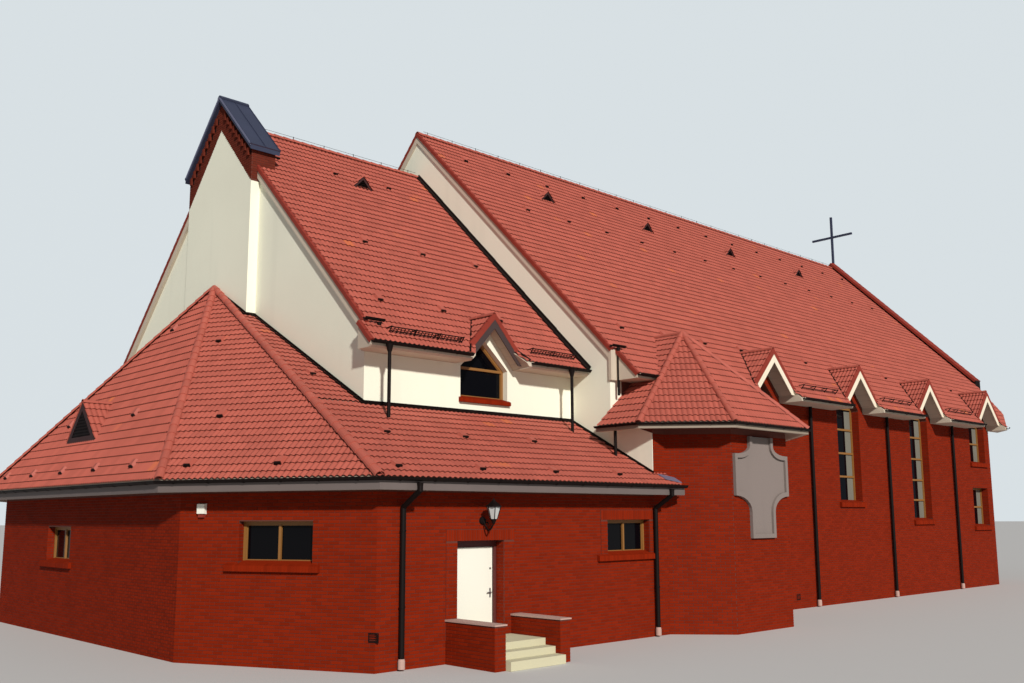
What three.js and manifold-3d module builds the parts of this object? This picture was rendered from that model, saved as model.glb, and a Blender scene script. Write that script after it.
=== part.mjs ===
// Church building with a lower chancel, a bell gable, a low ring of rooms round it and two side bays.
// All values are millimetres of the real building. The root group scales them to a 1:2 model.
// X runs along the building from the chancel to the far gable, -Y is the side with the entrance door.
// X = 0 is the outer face of the nave's chancel-side gable, Y = 0 is the axis, Z = 0 is the ground.
import * as THREE from "three";
import { mergeVertices } from "three/addons/utils/BufferGeometryUtils.js";
import Module from "manifold-3d";

const wasm = await Module();
wasm.setup();

// Driving dimensions
const MODEL_SCALE = 0.5;
const JOINT = 0.8; // gap between neighbouring solids
const WALL = 500;
const CUT = 100; // how far a cutting solid reaches past what it cuts
const FLOOR_TOP = 510;
const SOUTH = -1;
const NORTH = 1;

const NAVE = {
  half: 9300,
  sideEnd: 27100,
  west: 30700,
  westHalf: 7000,
  ridge: 17330,
  eaveY: 10190,
  eaveZ: 7220,
  eaveBase: 7120,
  thick: 330,
  vergeX: -50,
  lowVergeX: 170,
  vergeFootY: 9400,
  cutY: 7850,
};
const WINDOW_BAY = 5980; // distance between neighbouring nave windows
const GABLET = { first: 7800, count: 4, half: 1270, frontY: 9900, foot: 7280, apex: 8600, thick: 230 };
const TALL_WINDOW = { half: 840, spring: 7250, apex: 8050 };
const TALL_SILLS = [3700, 3700, 3000, 5580]; // sill heights of the four tall windows
const LOW_WINDOW = { sill: 2700, head: 4420 }; // second window below the fourth
const PARAPET = { inner: 30150, outer: 30700, rise: 320, half: 7700 };
const CROSS = { x: 30430, top: 20470, arm: 19250, half: 1250, bar: 110 };
const NAVE_PIPES = [10880, 16760, 22880];
const EAVE_BOX = { edge: 90, setBack: 70 }; // the board and the soffit of a boxed eave
const WEST_WINDOWS = { offset: 2965, sill: 3700, head: 8050, half: 970 };

const CHANCEL = {
  half: 7730,
  face: -7530,
  ridge: 15630,
  eaveY: 8460,
  eaveZ: 7470,
  eaveBase: 7330,
  thick: 330,
  vergeX: -7630,
  lowVergeX: -7850,
  vergeFootY: 7900,
};
const CHANCEL_GABLET = { at: -3500, half: 1120, frontY: 8150, foot: 7290, apex: 8510, thick: 230 };
const CHANCEL_ARCH = 6900; // height of the opening between nave and chancel
const CHANCEL_PIPE = -7330;
const CHANCEL_WINDOW = { half: 870, sill: 6420, spring: 7290, apex: 8070 };

const PYLON = { face: -7830, back: -7050, half: 2060, shoulder: 13200, panelApex: 15360 };
const PYLON_ROOF = { front: -7950, back: -6970, ridge: 16470, eave: 14300, half: 2190, thick: 170 };

const ANNEX = {
  corners: [
    [-9250, -10820],
    [-11500, -6300],
    [-11500, 6300],
    [-9250, 10820],
  ],
  overhang: 610,
  eaveZ: 4000,
  apexZ: 10180,
  eaveEndX: 565,
  thick: 240,
};
const ANNEX_PIPES = [-8640, -70];
const VENT_DORMER = { frontX: -11200, y: 1000, half: 1100, foot: 5350, apex: 6500 };
const SIDE_WINDOW = { from: -1960, to: -240, sill: 2220, head: 3110 };
const NORTH_WINDOW_SHIFT = -4400; // second window of the north side, in the place of the door
const CORNER_WINDOW = { from: 1550, to: 3450, sill: 2190, head: 3120 }; // along the slanted walls
const EAST_WINDOW = { from: 500, to: 2300, sill: 2000, head: 2960 };

const DOOR = { from: -7050, to: -5620, head: 2660, leafHead: 2500, leafThick: 60, recess: 320 };
const DOOR_GAP = 14;
const FRAME = { width: 60, depth: 120 };
const HINGE = { radius: 14, offset: 20, height: 60, flap: 40, levels: [760, 1480, 2200] };
const HANDLE = { inset: 70, z: 1450, radius: 11, reach: 60, lever: 50, tail: 12, tip: 120 };
const STEPS = { platformY: 11980, tread: 315, rise: 155, from: -7060, to: -5400 };
const STEP_WALL = { thick: 300, front: 12450, height: 960, coping: 60, copingOver: 50 };
const LANTERN = { x: -6290, out: 400, bottom: 3040, top: 3520, radius: 170 };
const LANTERN_ARM = { z: 3060, radius: 14, plate: 70, plateLow: 3000, plateHigh: 3220, plateThick: 30 };

const BAY = {
  side: 10820,
  front: 12180,
  chamferFrom: 570,
  chamferTo: 1790,
  farFrom: 4600,
  farTo: 5820,
  farSide: 6390,
  wallRise: 8000,
  wall: 400,
};
const BAY_ROOF = {
  left: -620,
  right: 6810,
  cornerLeft: 1150,
  cornerRight: 4860,
  sideY: 10850,
  frontY: 12790,
  eaveZ: 5700,
  edge: 120,
  apexX: 3005,
  apexY: 9680,
  apexZ: 8800,
  back: 8300,
  thick: 240,
};
const BAY_OPENING = { from: 900, to: 5500, head: 5200 };
const PANEL = { x: 3160, top: 5450, bottom: 2570, half: 1340, neck: 590, stem: 590, out: 60 };
const PANEL_LEVELS = { bodyTop: 4930, bodyBottom: 3760, stemTop: 3310, neckBottom: 5150 };

const GUTTER = { width: 120, height: 100, wall: 14 };
const PIPE = { radius: 50, sides: 8, wallGap: 60, foot: 40, drop: 260 };
const GLASS = { thick: 24, frame: 60, frameDepth: 200, margin: 100 };

// Materials
function finish(color, roughness, metalness = 0) {
  return new THREE.MeshStandardMaterial({ color, roughness, metalness });
}

const BRICK = finish(0x7e2c14, 0.85);
const PLASTER = finish(0xe6dfc4, 0.9);
const TILE = finish(0xb25f52, 0.6);
const SHEET = finish(0x484858, 0.4, 0.7);
const DARK_METAL = finish(0x1f1713, 0.45, 0.6);
const PANE = finish(0x39454a, 0.1);
const DOOR_PAINT = finish(0xf4f2e6, 0.5);
const STONE = finish(0x9a8a80, 0.85);
const CONCRETE = finish(0xb8b2a4, 0.9);

// Geometry to solid and back
function solid(geometry) {
  const bare = geometry.clone();
  bare.deleteAttribute("normal");
  bare.deleteAttribute("uv");
  const merged = mergeVertices(bare, 1e-3);
  return new wasm.Manifold(
    new wasm.Mesh({
      numProp: 3,
      vertProperties: merged.attributes.position.array,
      triVerts: new Uint32Array(merged.index.array),
    }),
  );
}

function geometryOf(manifold) {
  const mesh = manifold.getMesh();
  const flat = new THREE.BufferGeometry()
    .setAttribute("position", new THREE.BufferAttribute(new Float32Array(mesh.vertProperties), 3))
    .setIndex(new THREE.BufferAttribute(new Uint32Array(mesh.triVerts), 1))
    .toNonIndexed();
  flat.computeVertexNormals();
  return flat;
}

const union = (solids) => solids.reduce((sum, next) => sum.add(next));

function extrude(points, depth) {
  const shape = new THREE.Shape(points.map(([a, b]) => new THREE.Vector2(a, b)));
  return new THREE.ExtrudeGeometry(shape, { depth, bevelEnabled: false });
}

// Plan polygon raised from z0 to z1
const prismZ = (points, z0, z1) => solid(extrude(points, z1 - z0).translate(0, 0, z0));

// Polygon in Y and Z, drawn out from x0 to x1
function prismX(points, x0, x1) {
  const turn = new THREE.Matrix4().makeBasis(
    new THREE.Vector3(0, 1, 0),
    new THREE.Vector3(0, 0, 1),
    new THREE.Vector3(1, 0, 0),
  );
  return solid(extrude(points, x1 - x0).applyMatrix4(turn).translate(x0, 0, 0));
}

// Polygon in X and Z, drawn out from y0 to y1
function prismY(points, y0, y1) {
  const turn = new THREE.Matrix4().makeBasis(
    new THREE.Vector3(1, 0, 0),
    new THREE.Vector3(0, 0, 1),
    new THREE.Vector3(0, -1, 0),
  );
  return solid(extrude(points, Math.abs(y1 - y0)).applyMatrix4(turn).translate(0, Math.max(y0, y1), 0));
}

// A prism with openings cut right through it in its own direction
function pierced(prism, outline, from, to, openings) {
  const [low, high] = [Math.min(from, to), Math.max(from, to)];
  const cuts = openings.map((opening) => prism(opening, low - CUT, high + CUT));
  return cuts.reduce((body, cut) => body.subtract(cut), prism(outline, low, high));
}

const box = (x0, x1, y0, y1, z0, z1) =>
  prismZ(
    [
      [x0, y0],
      [x1, y0],
      [x1, y1],
      [x0, y1],
    ],
    z0,
    z1,
  );

const sided = (side, y0, y1) => [Math.min(side * y0, side * y1), Math.max(side * y0, side * y1)];

// A box whose Y range is given as distances from the axis on one side
function sideBox(side, x0, x1, near, far, z0, z1) {
  const [y0, y1] = sided(side, near, far);
  return box(x0, x1, y0, y1, z0, z1);
}

// Plane z = a x + b y + c through three points
function planeThrough(p, q, r) {
  const [u, v, w] = [p, q, r].map((point) => new THREE.Vector3(...point));
  const normal = v.clone().sub(u).cross(w.clone().sub(u));
  const a = -normal.x / normal.z;
  const b = -normal.y / normal.z;
  return { a, b, c: u.z - a * u.x - b * u.y };
}

const heightOn = (plane, x, y) => plane.a * x + plane.b * y + plane.c;

// Plan polygon lifted onto a sloping plane, with its thickness measured straight down
function slopedSlab(points, plane, thick) {
  const shear = new THREE.Matrix4().set(1, 0, 0, 0, 0, 1, 0, 0, plane.a, plane.b, 1, plane.c, 0, 0, 0, 1);
  return solid(extrude(points, thick).translate(0, 0, -thick).applyMatrix4(shear));
}

// Moves every side of a plan polygon inwards
function inset(points, distance) {
  const area = points.reduce((sum, [x, y], i) => {
    const [nextX, nextY] = points[(i + 1) % points.length];
    return sum + x * nextY - nextX * y;
  }, 0);
  const turn = Math.sign(area);
  return points.map((point, i) => {
    const before = points[(i + points.length - 1) % points.length];
    const after = points[(i + 1) % points.length];
    const side = (from, to) => {
      const length = Math.hypot(to[0] - from[0], to[1] - from[1]);
      return [(to[0] - from[0]) / length, (to[1] - from[1]) / length];
    };
    const [ax, ay] = side(before, point);
    const [bx, by] = side(point, after);
    const [nx, ny] = [-(ay + by) * turn, (ax + bx) * turn];
    const scale = distance / (1 + ax * bx + ay * by);
    return [point[0] + nx * scale, point[1] + ny * scale];
  });
}

const mirrorPlan = (points, side) => points.map(([x, y]) => [x, side * y]);

// A round bar between two points
function bar(from, to, radius, sides = PIPE.sides) {
  const start = new THREE.Vector3(...from);
  const along = new THREE.Vector3(...to).sub(start);
  const geometry = new THREE.CylinderGeometry(radius, radius, along.length(), sides);
  const upright = new THREE.Vector3(0, 1, 0);
  const turn = new THREE.Quaternion().setFromUnitVectors(upright, along.clone().normalize());
  const middle = start.addScaledVector(along, 0.5);
  return solid(geometry.applyQuaternion(turn).translate(...middle.toArray()));
}

// Scene graph: one group for each main part of the building
const building = new THREE.Group();
const groups = Object.fromEntries(
  ["nave", "chancel", "annex", "bays", "entrance"].map((name) => [name, new THREE.Group()]),
);
Object.values(groups).forEach((group) => building.add(group));

function place(group, name, shape, material) {
  const mesh = new THREE.Mesh(geometryOf(shape), material);
  mesh.name = name;
  groups[group].add(mesh);
  return mesh;
}

// Openings in walls, drawn as polygons in the wall's own width and height
const rectangle = (from, to, low, high) => [
  [from, low],
  [to, low],
  [to, high],
  [from, high],
];

const pointed = (centre, half, sill, spring, apex) => [
  [centre - half, sill],
  [centre + half, sill],
  [centre + half, spring],
  [centre, apex],
  [centre - half, spring],
];

// A ring that follows an opening, as a window frame
const frameRing = (outline, width) => ({ outline: inset(outline, JOINT), hole: inset(outline, width) });

// Slopes of the two main roofs
const naveSlope = (NAVE.ridge - NAVE.eaveZ) / NAVE.eaveY;
const chancelSlope = (CHANCEL.ridge - CHANCEL.eaveZ) / CHANCEL.eaveY;
const naveUnder = (y) => NAVE.ridge - NAVE.thick - naveSlope * y;
const chancelUnder = (y) => CHANCEL.ridge - CHANCEL.thick - chancelSlope * y;

// The inverted V of a gablet, and the space below it
function gabletSection(at, { half, foot, apex, thick }) {
  return [
    [at - half, foot],
    [at, apex],
    [at + half, foot],
    [at + half, foot + thick],
    [at, apex + thick],
    [at - half, foot + thick],
  ];
}

function gabletTunnel(at, { half, foot, apex }, low) {
  const inner = half - 70;
  const spring = apex - ((apex - foot) / half) * inner;
  return [
    [at - inner, low],
    [at + inner, low],
    [at + inner, spring],
    [at, apex],
    [at - inner, spring],
  ];
}

// The wall's peak that fills a gablet above the wall top
function wallPeak(at, { half, foot, apex }, wallTop) {
  const reach = ((apex - JOINT - wallTop) * half) / (apex - foot);
  return [
    [at - reach, wallTop],
    [at, apex - JOINT],
    [at + reach, wallTop],
  ];
}

// One slope of a main roof, with a boxed eave and its gablets
function roofSlope(side, hall, slope, plan, gablets, gablet) {
  const section = [
    [0, hall.ridge],
    [hall.eaveY, hall.eaveZ],
    [hall.eaveY, hall.eaveZ - EAVE_BOX.edge],
    [hall.eaveY - EAVE_BOX.setBack, hall.eaveBase],
    [hall.half + JOINT, hall.eaveBase],
    [hall.half + JOINT, hall.ridge - hall.thick - slope * (hall.half + JOINT)],
    [0, hall.ridge - hall.thick],
  ].map(([y, z]) => [side * y, z]);
  const xs = plan.map(([x]) => x);
  const slab = prismX(section, Math.min(...xs), Math.max(...xs));
  const roof = slab.intersect(prismZ(mirrorPlan(plan, side), 0, hall.ridge + CUT));
  const above = prismX(
    [
      [0, hall.ridge - hall.thick],
      [side * hall.eaveY, hall.ridge - hall.thick - slope * hall.eaveY],
      [side * hall.eaveY, hall.ridge],
    ],
    Math.min(...xs),
    Math.max(...xs),
  );
  const back = (hall.ridge - gablet.apex - gablet.thick) / slope - 200;
  const tunnels = gablets.map((at) =>
    prismY(
      gabletTunnel(at, gablet, hall.eaveBase - CUT),
      side * (hall.half - WALL - JOINT),
      side * (hall.eaveY + CUT),
    ),
  );
  const hoods = gablets.map((at) =>
    prismY(gabletSection(at, gablet), side * back, side * gablet.frontY).intersect(above),
  );
  return union([roof.subtract(union(tunnels)), ...hoods]);
}

// Nave
const gabletCentres = Array.from({ length: GABLET.count }, (_, i) => GABLET.first + i * WINDOW_BAY);
const naveWallTop = naveUnder(NAVE.half) - JOINT;
const naveOutline = [
  [0, -NAVE.half],
  [NAVE.sideEnd, -NAVE.half],
  [NAVE.west, -NAVE.westHalf],
  [NAVE.west, NAVE.westHalf],
  [NAVE.sideEnd, NAVE.half],
  [0, NAVE.half],
];
const naveInner = inset(naveOutline, WALL);
const sideWallEnd = NAVE.sideEnd - 145;

const naveOpenings = [
  ...gabletCentres.map((at, i) =>
    pointed(at, TALL_WINDOW.half, TALL_SILLS[i], TALL_WINDOW.spring, TALL_WINDOW.apex),
  ),
  rectangle(
    gabletCentres[3] - TALL_WINDOW.half,
    gabletCentres[3] + TALL_WINDOW.half,
    LOW_WINDOW.sill,
    LOW_WINDOW.head,
  ),
];

function naveSideWall(side) {
  const start = WALL + JOINT;
  const top = [...gabletCentres].reverse().flatMap((at) => [...wallPeak(at, GABLET, naveWallTop)].reverse());
  const profile = [
    [start, 0],
    [sideWallEnd, 0],
    [sideWallEnd, naveWallTop],
    ...top,
    [start, naveWallTop],
  ];
  const throat = rectangle(BAY_OPENING.from, BAY_OPENING.to, FLOOR_TOP, BAY_OPENING.head);
  return pierced(prismY, profile, side * (NAVE.half - WALL), side * NAVE.half, [...naveOpenings, throat]);
}

// The width and height of the sheet that covers a row of openings
function sheetRange(openings) {
  const corners = openings.flat();
  return [0, 1].map((axis) => {
    const values = corners.map((corner) => corner[axis]);
    return [Math.min(...values) - GLASS.margin, Math.max(...values) + GLASS.margin];
  });
}

// Glass sheet behind a wall's windows, with a frame standing into each opening
function glazing(openings, side, innerY) {
  const [[from, to], [low, high]] = sheetRange(openings);
  const sheet = sideBox(side, from, to, innerY - JOINT - GLASS.thick, innerY - JOINT, low, high);
  const frames = openings.map((opening) => {
    const { outline, hole } = frameRing(opening, GLASS.frame);
    return pierced(prismY, outline, side * (innerY - JOINT - 1), side * (innerY + GLASS.frameDepth), [hole]);
  });
  return union([sheet, ...frames]);
}

function naveRoofPlan() {
  return [
    [NAVE.vergeX, JOINT],
    [NAVE.vergeX, NAVE.vergeFootY],
    [NAVE.lowVergeX, NAVE.vergeFootY],
    [NAVE.lowVergeX, NAVE.eaveY],
    [NAVE.sideEnd + 50, NAVE.eaveY],
    [PARAPET.inner - JOINT, NAVE.cutY],
    [PARAPET.inner - JOINT, JOINT],
  ];
}

const naveRoof = (side) => roofSlope(side, NAVE, naveSlope, naveRoofPlan(), gabletCentres, GABLET);
const sideName = (side) => (side === SOUTH ? "south" : "north");

for (const side of [SOUTH, NORTH]) {
  place("nave", "nave_wall_" + sideName(side), naveSideWall(side), BRICK);
  place("nave", "nave_roof_" + sideName(side), naveRoof(side), TILE);
  place(
    "nave",
    "nave_windows_" + sideName(side),
    glazing(naveOpenings, side, NAVE.half - WALL),
    PANE,
  );
}

// Gable wall between nave and chancel, open below to the chancel
const chancelInner = CHANCEL.half - WALL;
place(
  "nave",
  "nave_east_gable_wall",
  prismX(
    [
      [-NAVE.half, 0],
      [-chancelInner, 0],
      [-chancelInner, CHANCEL_ARCH],
      [chancelInner, CHANCEL_ARCH],
      [chancelInner, 0],
      [NAVE.half, 0],
      [NAVE.half, naveWallTop],
      [0, naveUnder(0) - JOINT],
      [-NAVE.half, naveWallTop],
    ],
    0,
    WALL,
  ),
  PLASTER,
);

// Far gable wall with its two slanted corners
const westPlan = [
  [sideWallEnd + JOINT, -NAVE.half],
  naveOutline[1],
  naveOutline[2],
  naveOutline[3],
  naveOutline[4],
  [sideWallEnd + JOINT, NAVE.half],
  [sideWallEnd + JOINT, NAVE.half - WALL],
  naveInner[4],
  naveInner[3],
  naveInner[2],
  naveInner[1],
  [sideWallEnd + JOINT, -NAVE.half + WALL],
];
const westShell = prismX(
  [
    [-NAVE.half - 10, 0],
    [NAVE.half + 10, 0],
    [NAVE.half + 10, naveUnder(NAVE.half + 10) - JOINT],
    [0, naveUnder(0) - JOINT],
    [-NAVE.half - 10, naveUnder(NAVE.half + 10) - JOINT],
  ],
  sideWallEnd,
  NAVE.west + 10,
);
const westOpenings = [SOUTH, NORTH].map((side) =>
  rectangle(
    side * WEST_WINDOWS.offset - WEST_WINDOWS.half,
    side * WEST_WINDOWS.offset + WEST_WINDOWS.half,
    WEST_WINDOWS.sill,
    WEST_WINDOWS.head,
  ),
);
const westHoles = union(westOpenings.map((hole) => prismX(hole, NAVE.west - WALL - CUT, NAVE.west + CUT)));
place(
  "nave",
  "west_gable_wall",
  prismZ(westPlan, 0, NAVE.ridge).intersect(westShell).subtract(westHoles),
  PLASTER,
);

const westInnerX = NAVE.west - WALL;
const westFrames = westOpenings.map((opening) => {
  const { outline, hole } = frameRing(opening, GLASS.frame);
  return pierced(prismX, outline, westInnerX - JOINT - 1, westInnerX + GLASS.frameDepth, [hole]);
});
const [westWidth, westHeight] = sheetRange(westOpenings);
const westSheet = box(westInnerX - JOINT - GLASS.thick, westInnerX - JOINT, ...westWidth, ...westHeight);
place("nave", "west_windows", union([westSheet, ...westFrames]), PANE);

// Raised parapet over the far gable, from just above the wall to above the tiles
const parapetLow = (y) => naveUnder(y) + JOINT;
place(
  "nave",
  "west_parapet",
  prismX(
    [
      [-PARAPET.half, parapetLow(PARAPET.half)],
      [0, parapetLow(0)],
      [PARAPET.half, parapetLow(PARAPET.half)],
      [PARAPET.half, naveUnder(PARAPET.half) + NAVE.thick + PARAPET.rise],
      [0, NAVE.ridge + PARAPET.rise],
      [-PARAPET.half, naveUnder(PARAPET.half) + NAVE.thick + PARAPET.rise],
    ],
    PARAPET.inner,
    PARAPET.outer,
  ),
  TILE,
);

const crossFoot = NAVE.ridge + PARAPET.rise + JOINT;
const [crossLow, crossHigh] = [-CROSS.bar / 2, CROSS.bar / 2];
place(
  "nave",
  "roof_cross",
  union([
    box(CROSS.x + crossLow, CROSS.x + crossHigh, crossLow, crossHigh, crossFoot, CROSS.top),
    box(
      CROSS.x + crossLow,
      CROSS.x + crossHigh,
      -CROSS.half,
      CROSS.half,
      CROSS.arm + crossLow,
      CROSS.arm + crossHigh,
    ),
  ]),
  SHEET,
);

// Floor of the nave and of the chancel, through the open arch
const hallFloor = [
  [CHANCEL.face + WALL, -chancelInner],
  [0, -chancelInner],
  [WALL, -chancelInner],
  [WALL, -NAVE.half + WALL],
  naveInner[1],
  naveInner[2],
  naveInner[3],
  naveInner[4],
  [WALL, NAVE.half - WALL],
  [WALL, chancelInner],
  [CHANCEL.face + WALL, chancelInner],
];
place("nave", "hall_floor", prismZ(inset(hallFloor, JOINT), 0, FLOOR_TOP - JOINT), CONCRETE);

// Chancel
const chancelWallTop = chancelUnder(CHANCEL.half) - JOINT;
const chancelOpening = pointed(
  CHANCEL_GABLET.at,
  CHANCEL_WINDOW.half,
  CHANCEL_WINDOW.sill,
  CHANCEL_WINDOW.spring,
  CHANCEL_WINDOW.apex,
);

function chancelSideWall(side) {
  const [from, to] = [CHANCEL.face + WALL + JOINT, -JOINT];
  const profile = [
    [from, 0],
    [to, 0],
    [to, chancelWallTop],
    ...wallPeak(CHANCEL_GABLET.at, CHANCEL_GABLET, chancelWallTop).reverse(),
    [from, chancelWallTop],
  ];
  return pierced(prismY, profile, side * chancelInner, side * CHANCEL.half, [chancelOpening]);
}

const chancelRoofPlan = [
  [PYLON.back + JOINT, JOINT],
  [PYLON.back + JOINT, PYLON.half + JOINT],
  [CHANCEL.vergeX, PYLON.half + JOINT],
  [CHANCEL.vergeX, CHANCEL.vergeFootY],
  [CHANCEL.lowVergeX, CHANCEL.vergeFootY],
  [CHANCEL.lowVergeX, CHANCEL.eaveY],
  [-JOINT, CHANCEL.eaveY],
  [-JOINT, JOINT],
];

for (const side of [SOUTH, NORTH]) {
  place("chancel", "chancel_wall_" + sideName(side), chancelSideWall(side), PLASTER);
  place(
    "chancel",
    "chancel_roof_" + sideName(side),
    roofSlope(side, CHANCEL, chancelSlope, chancelRoofPlan, [CHANCEL_GABLET.at], CHANCEL_GABLET),
    TILE,
  );
  place(
    "chancel",
    "chancel_window_" + sideName(side),
    glazing([chancelOpening], side, chancelInner),
    PANE,
  );
}

// Gable wall of the chancel with the white face of the bell gable
const chancelGable = prismX(
  [
    [-CHANCEL.half, 0],
    [CHANCEL.half, 0],
    [CHANCEL.half, chancelWallTop],
    [0, chancelUnder(0) - JOINT],
    [-CHANCEL.half, chancelWallTop],
  ],
  CHANCEL.face,
  CHANCEL.face + WALL,
);
const pylonFace = prismX(
  [
    [-PYLON.half, 0],
    [PYLON.half, 0],
    [PYLON.half, PYLON.shoulder],
    [0, PYLON.panelApex],
    [-PYLON.half, PYLON.shoulder],
  ],
  PYLON.face,
  PYLON.back,
);
const headSpace = prismX(
  [
    [-PYLON.half - JOINT, PYLON.shoulder - 2 * JOINT],
    [0, PYLON.panelApex],
    [PYLON.half + JOINT, PYLON.shoulder - 2 * JOINT],
    [PYLON.half + JOINT, CHANCEL.ridge],
    [-PYLON.half - JOINT, CHANCEL.ridge],
  ],
  CHANCEL.face - CUT,
  CHANCEL.face + WALL + CUT,
);
place("chancel", "chancel_gable_wall", union([chancelGable.subtract(headSpace), pylonFace]), PLASTER);

const pylonRoofSlope = (PYLON_ROOF.ridge - PYLON_ROOF.eave) / PYLON_ROOF.half;
const pylonHeadTop = (y) => PYLON_ROOF.ridge - PYLON_ROOF.thick - JOINT - pylonRoofSlope * y;
place(
  "chancel",
  "bell_gable_head",
  prismX(
    [
      [-PYLON.half, PYLON.shoulder + JOINT],
      [0, PYLON.panelApex + JOINT],
      [PYLON.half, PYLON.shoulder + JOINT],
      [PYLON.half, pylonHeadTop(PYLON.half)],
      [0, pylonHeadTop(0)],
      [-PYLON.half, pylonHeadTop(PYLON.half)],
    ],
    PYLON.face,
    PYLON.back,
  ),
  BRICK,
);
place(
  "chancel",
  "bell_gable_roof",
  prismX(
    [
      [-PYLON_ROOF.half, PYLON_ROOF.eave],
      [-PYLON_ROOF.half, PYLON_ROOF.eave - PYLON_ROOF.thick],
      [0, PYLON_ROOF.ridge - PYLON_ROOF.thick],
      [PYLON_ROOF.half, PYLON_ROOF.eave - PYLON_ROOF.thick],
      [PYLON_ROOF.half, PYLON_ROOF.eave],
      [0, PYLON_ROOF.ridge],
    ],
    PYLON_ROOF.front,
    PYLON_ROOF.back,
  ),
  SHEET,
);

// Annex: a ring of low rooms round the chancel, from the nave gable round to the nave gable
const annexOutline = [[0, ANNEX.corners[0][1]], ...ANNEX.corners, [0, ANNEX.corners[3][1]]];
const annexInner = inset(annexOutline, WALL).map(([x, y], i) => (i === 0 || i === 5 ? [0, y] : [x, y]));
const annexEave = inset(annexOutline, -ANNEX.overhang);
const apex = [PYLON.face, 0, ANNEX.apexZ];
const eavePoint = (i) => [...annexEave[i], ANNEX.eaveZ];

const facets = [0, 1, 2, 3, 4].map((i) => planeThrough(eavePoint(i), eavePoint(i + 1), apex));

// Everything below the underside of the annex roof
const annexPlot = [
  [-15000, -15000],
  [1000, -15000],
  [1000, 15000],
  [-15000, 15000],
];
const underAnnexRoof = facets
  .map((plane) => slopedSlab(annexPlot, plane, ANNEX.apexZ * 2).translate(0, 0, -ANNEX.thick - JOINT))
  .reduce((common, next) => common.intersect(next));
const wallRise = 5000;

// Plan of the side facets: they run past the pylon, the chancel and the bay's corner
function sideFacetPlan(side) {
  const corner = annexEave[1];
  const points = [
    corner,
    [ANNEX.eaveEndX, corner[1]],
    [ANNEX.eaveEndX, -BAY.side - JOINT],
    [-JOINT, -BAY.side - JOINT],
    [-JOINT, -CHANCEL.half - JOINT],
    [CHANCEL.face - JOINT, -CHANCEL.half - JOINT],
    [CHANCEL.face - JOINT, -PYLON.half - JOINT],
    [PYLON.face - JOINT, -PYLON.half - JOINT],
    [PYLON.face - JOINT, -2 * JOINT],
  ];
  return mirrorPlan(points, -side);
}

const facetPlans = [
  sideFacetPlan(SOUTH),
  [annexEave[1], annexEave[2], [apex[0] - JOINT, 0]],
  [annexEave[2], annexEave[3], [apex[0] - JOINT, 0]],
  [annexEave[3], annexEave[4], [apex[0] - JOINT, 0]],
  sideFacetPlan(NORTH),
];
const facetNames = ["south", "southeast", "east", "northeast", "north"];

const dormerPlane = facets[2];
const dormerBack = (VENT_DORMER.apex - dormerPlane.c) / dormerPlane.a + 150;
const ventDormer = prismX(
  [
    [VENT_DORMER.y - VENT_DORMER.half, VENT_DORMER.foot],
    [VENT_DORMER.y + VENT_DORMER.half, VENT_DORMER.foot],
    [VENT_DORMER.y, VENT_DORMER.apex],
  ],
  VENT_DORMER.frontX,
  dormerBack,
);

facetPlans.forEach((plan, i) => {
  const slab = slopedSlab(inset(plan, JOINT), facets[i], ANNEX.thick);
  const cover = prismY(
    [
      [annexEave[2][0], heightOn(dormerPlane, annexEave[2][0], 0) - ANNEX.thick],
      [apex[0], heightOn(dormerPlane, apex[0], 0) - ANNEX.thick],
      [apex[0], ANNEX.apexZ + 500],
      [annexEave[2][0], ANNEX.apexZ + 500],
    ],
    -3000,
    3000,
  );
  const shape = facetNames[i] === "east" ? slab.add(ventDormer.intersect(cover)) : slab;
  place("annex", "annex_roof_" + facetNames[i], shape, TILE);
});

// A wall of the annex between two of its corners, as a plan with mitred ends
const annexWallPlan = (i) =>
  inset([annexOutline[i], annexOutline[i + 1], annexInner[i + 1], annexInner[i]], JOINT / 2);

// Draws a solid made along +X from the origin out along a wall, with the wall's inner side towards +Y
function alongWall(shape, i) {
  const [from, to] = [annexOutline[i + 1], annexOutline[i]];
  const angle = Math.atan2(to[1] - from[1], to[0] - from[0]);
  const turned = new THREE.Matrix4().makeRotationZ(angle).setPosition(from[0], from[1], 0);
  return solid(geometryOf(shape).applyMatrix4(turned));
}

function wallLength(i) {
  const [[x0, y0], [x1, y1]] = [annexOutline[i], annexOutline[i + 1]];
  return Math.hypot(x1 - x0, y1 - y0);
}

const southWallTop = heightOn(facets[0], 0, annexOutline[0][1]) - ANNEX.thick - JOINT;

// Entrance wall, split beside and over the doorway
const [southFace, southInner] = [annexOutline[0][1], annexInner[0][1]];
place(
  "annex",
  "annex_wall_south_left",
  prismZ(
    inset([annexOutline[1], [DOOR.from, southFace], [DOOR.from, southInner], annexInner[1]], JOINT / 2),
    0,
    wallRise,
  ).intersect(underAnnexRoof),
  BRICK,
);
place(
  "annex",
  "annex_wall_over_door",
  box(DOOR.from + JOINT, DOOR.to - JOINT, southFace, southInner, DOOR.head, southWallTop),
  BRICK,
);
const southWindow = rectangle(SIDE_WINDOW.from, SIDE_WINDOW.to, SIDE_WINDOW.sill, SIDE_WINDOW.head);
place(
  "annex",
  "annex_wall_south_right",
  pierced(prismY, rectangle(DOOR.to, -JOINT, 0, southWallTop), southFace, southInner, [southWindow]),
  BRICK,
);

const northWindows = [
  southWindow,
  rectangle(
    SIDE_WINDOW.from + NORTH_WINDOW_SHIFT,
    SIDE_WINDOW.to + NORTH_WINDOW_SHIFT,
    SIDE_WINDOW.sill,
    SIDE_WINDOW.head,
  ),
];
const cutThrough = (openings, near, far) => union(openings.map((opening) => prismY(opening, near, far)));
place(
  "annex",
  "annex_wall_north",
  prismZ(annexWallPlan(4), 0, wallRise)
    .intersect(underAnnexRoof)
    .subtract(cutThrough(northWindows, -southFace + CUT, -southInner - CUT)),
  BRICK,
);

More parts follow.
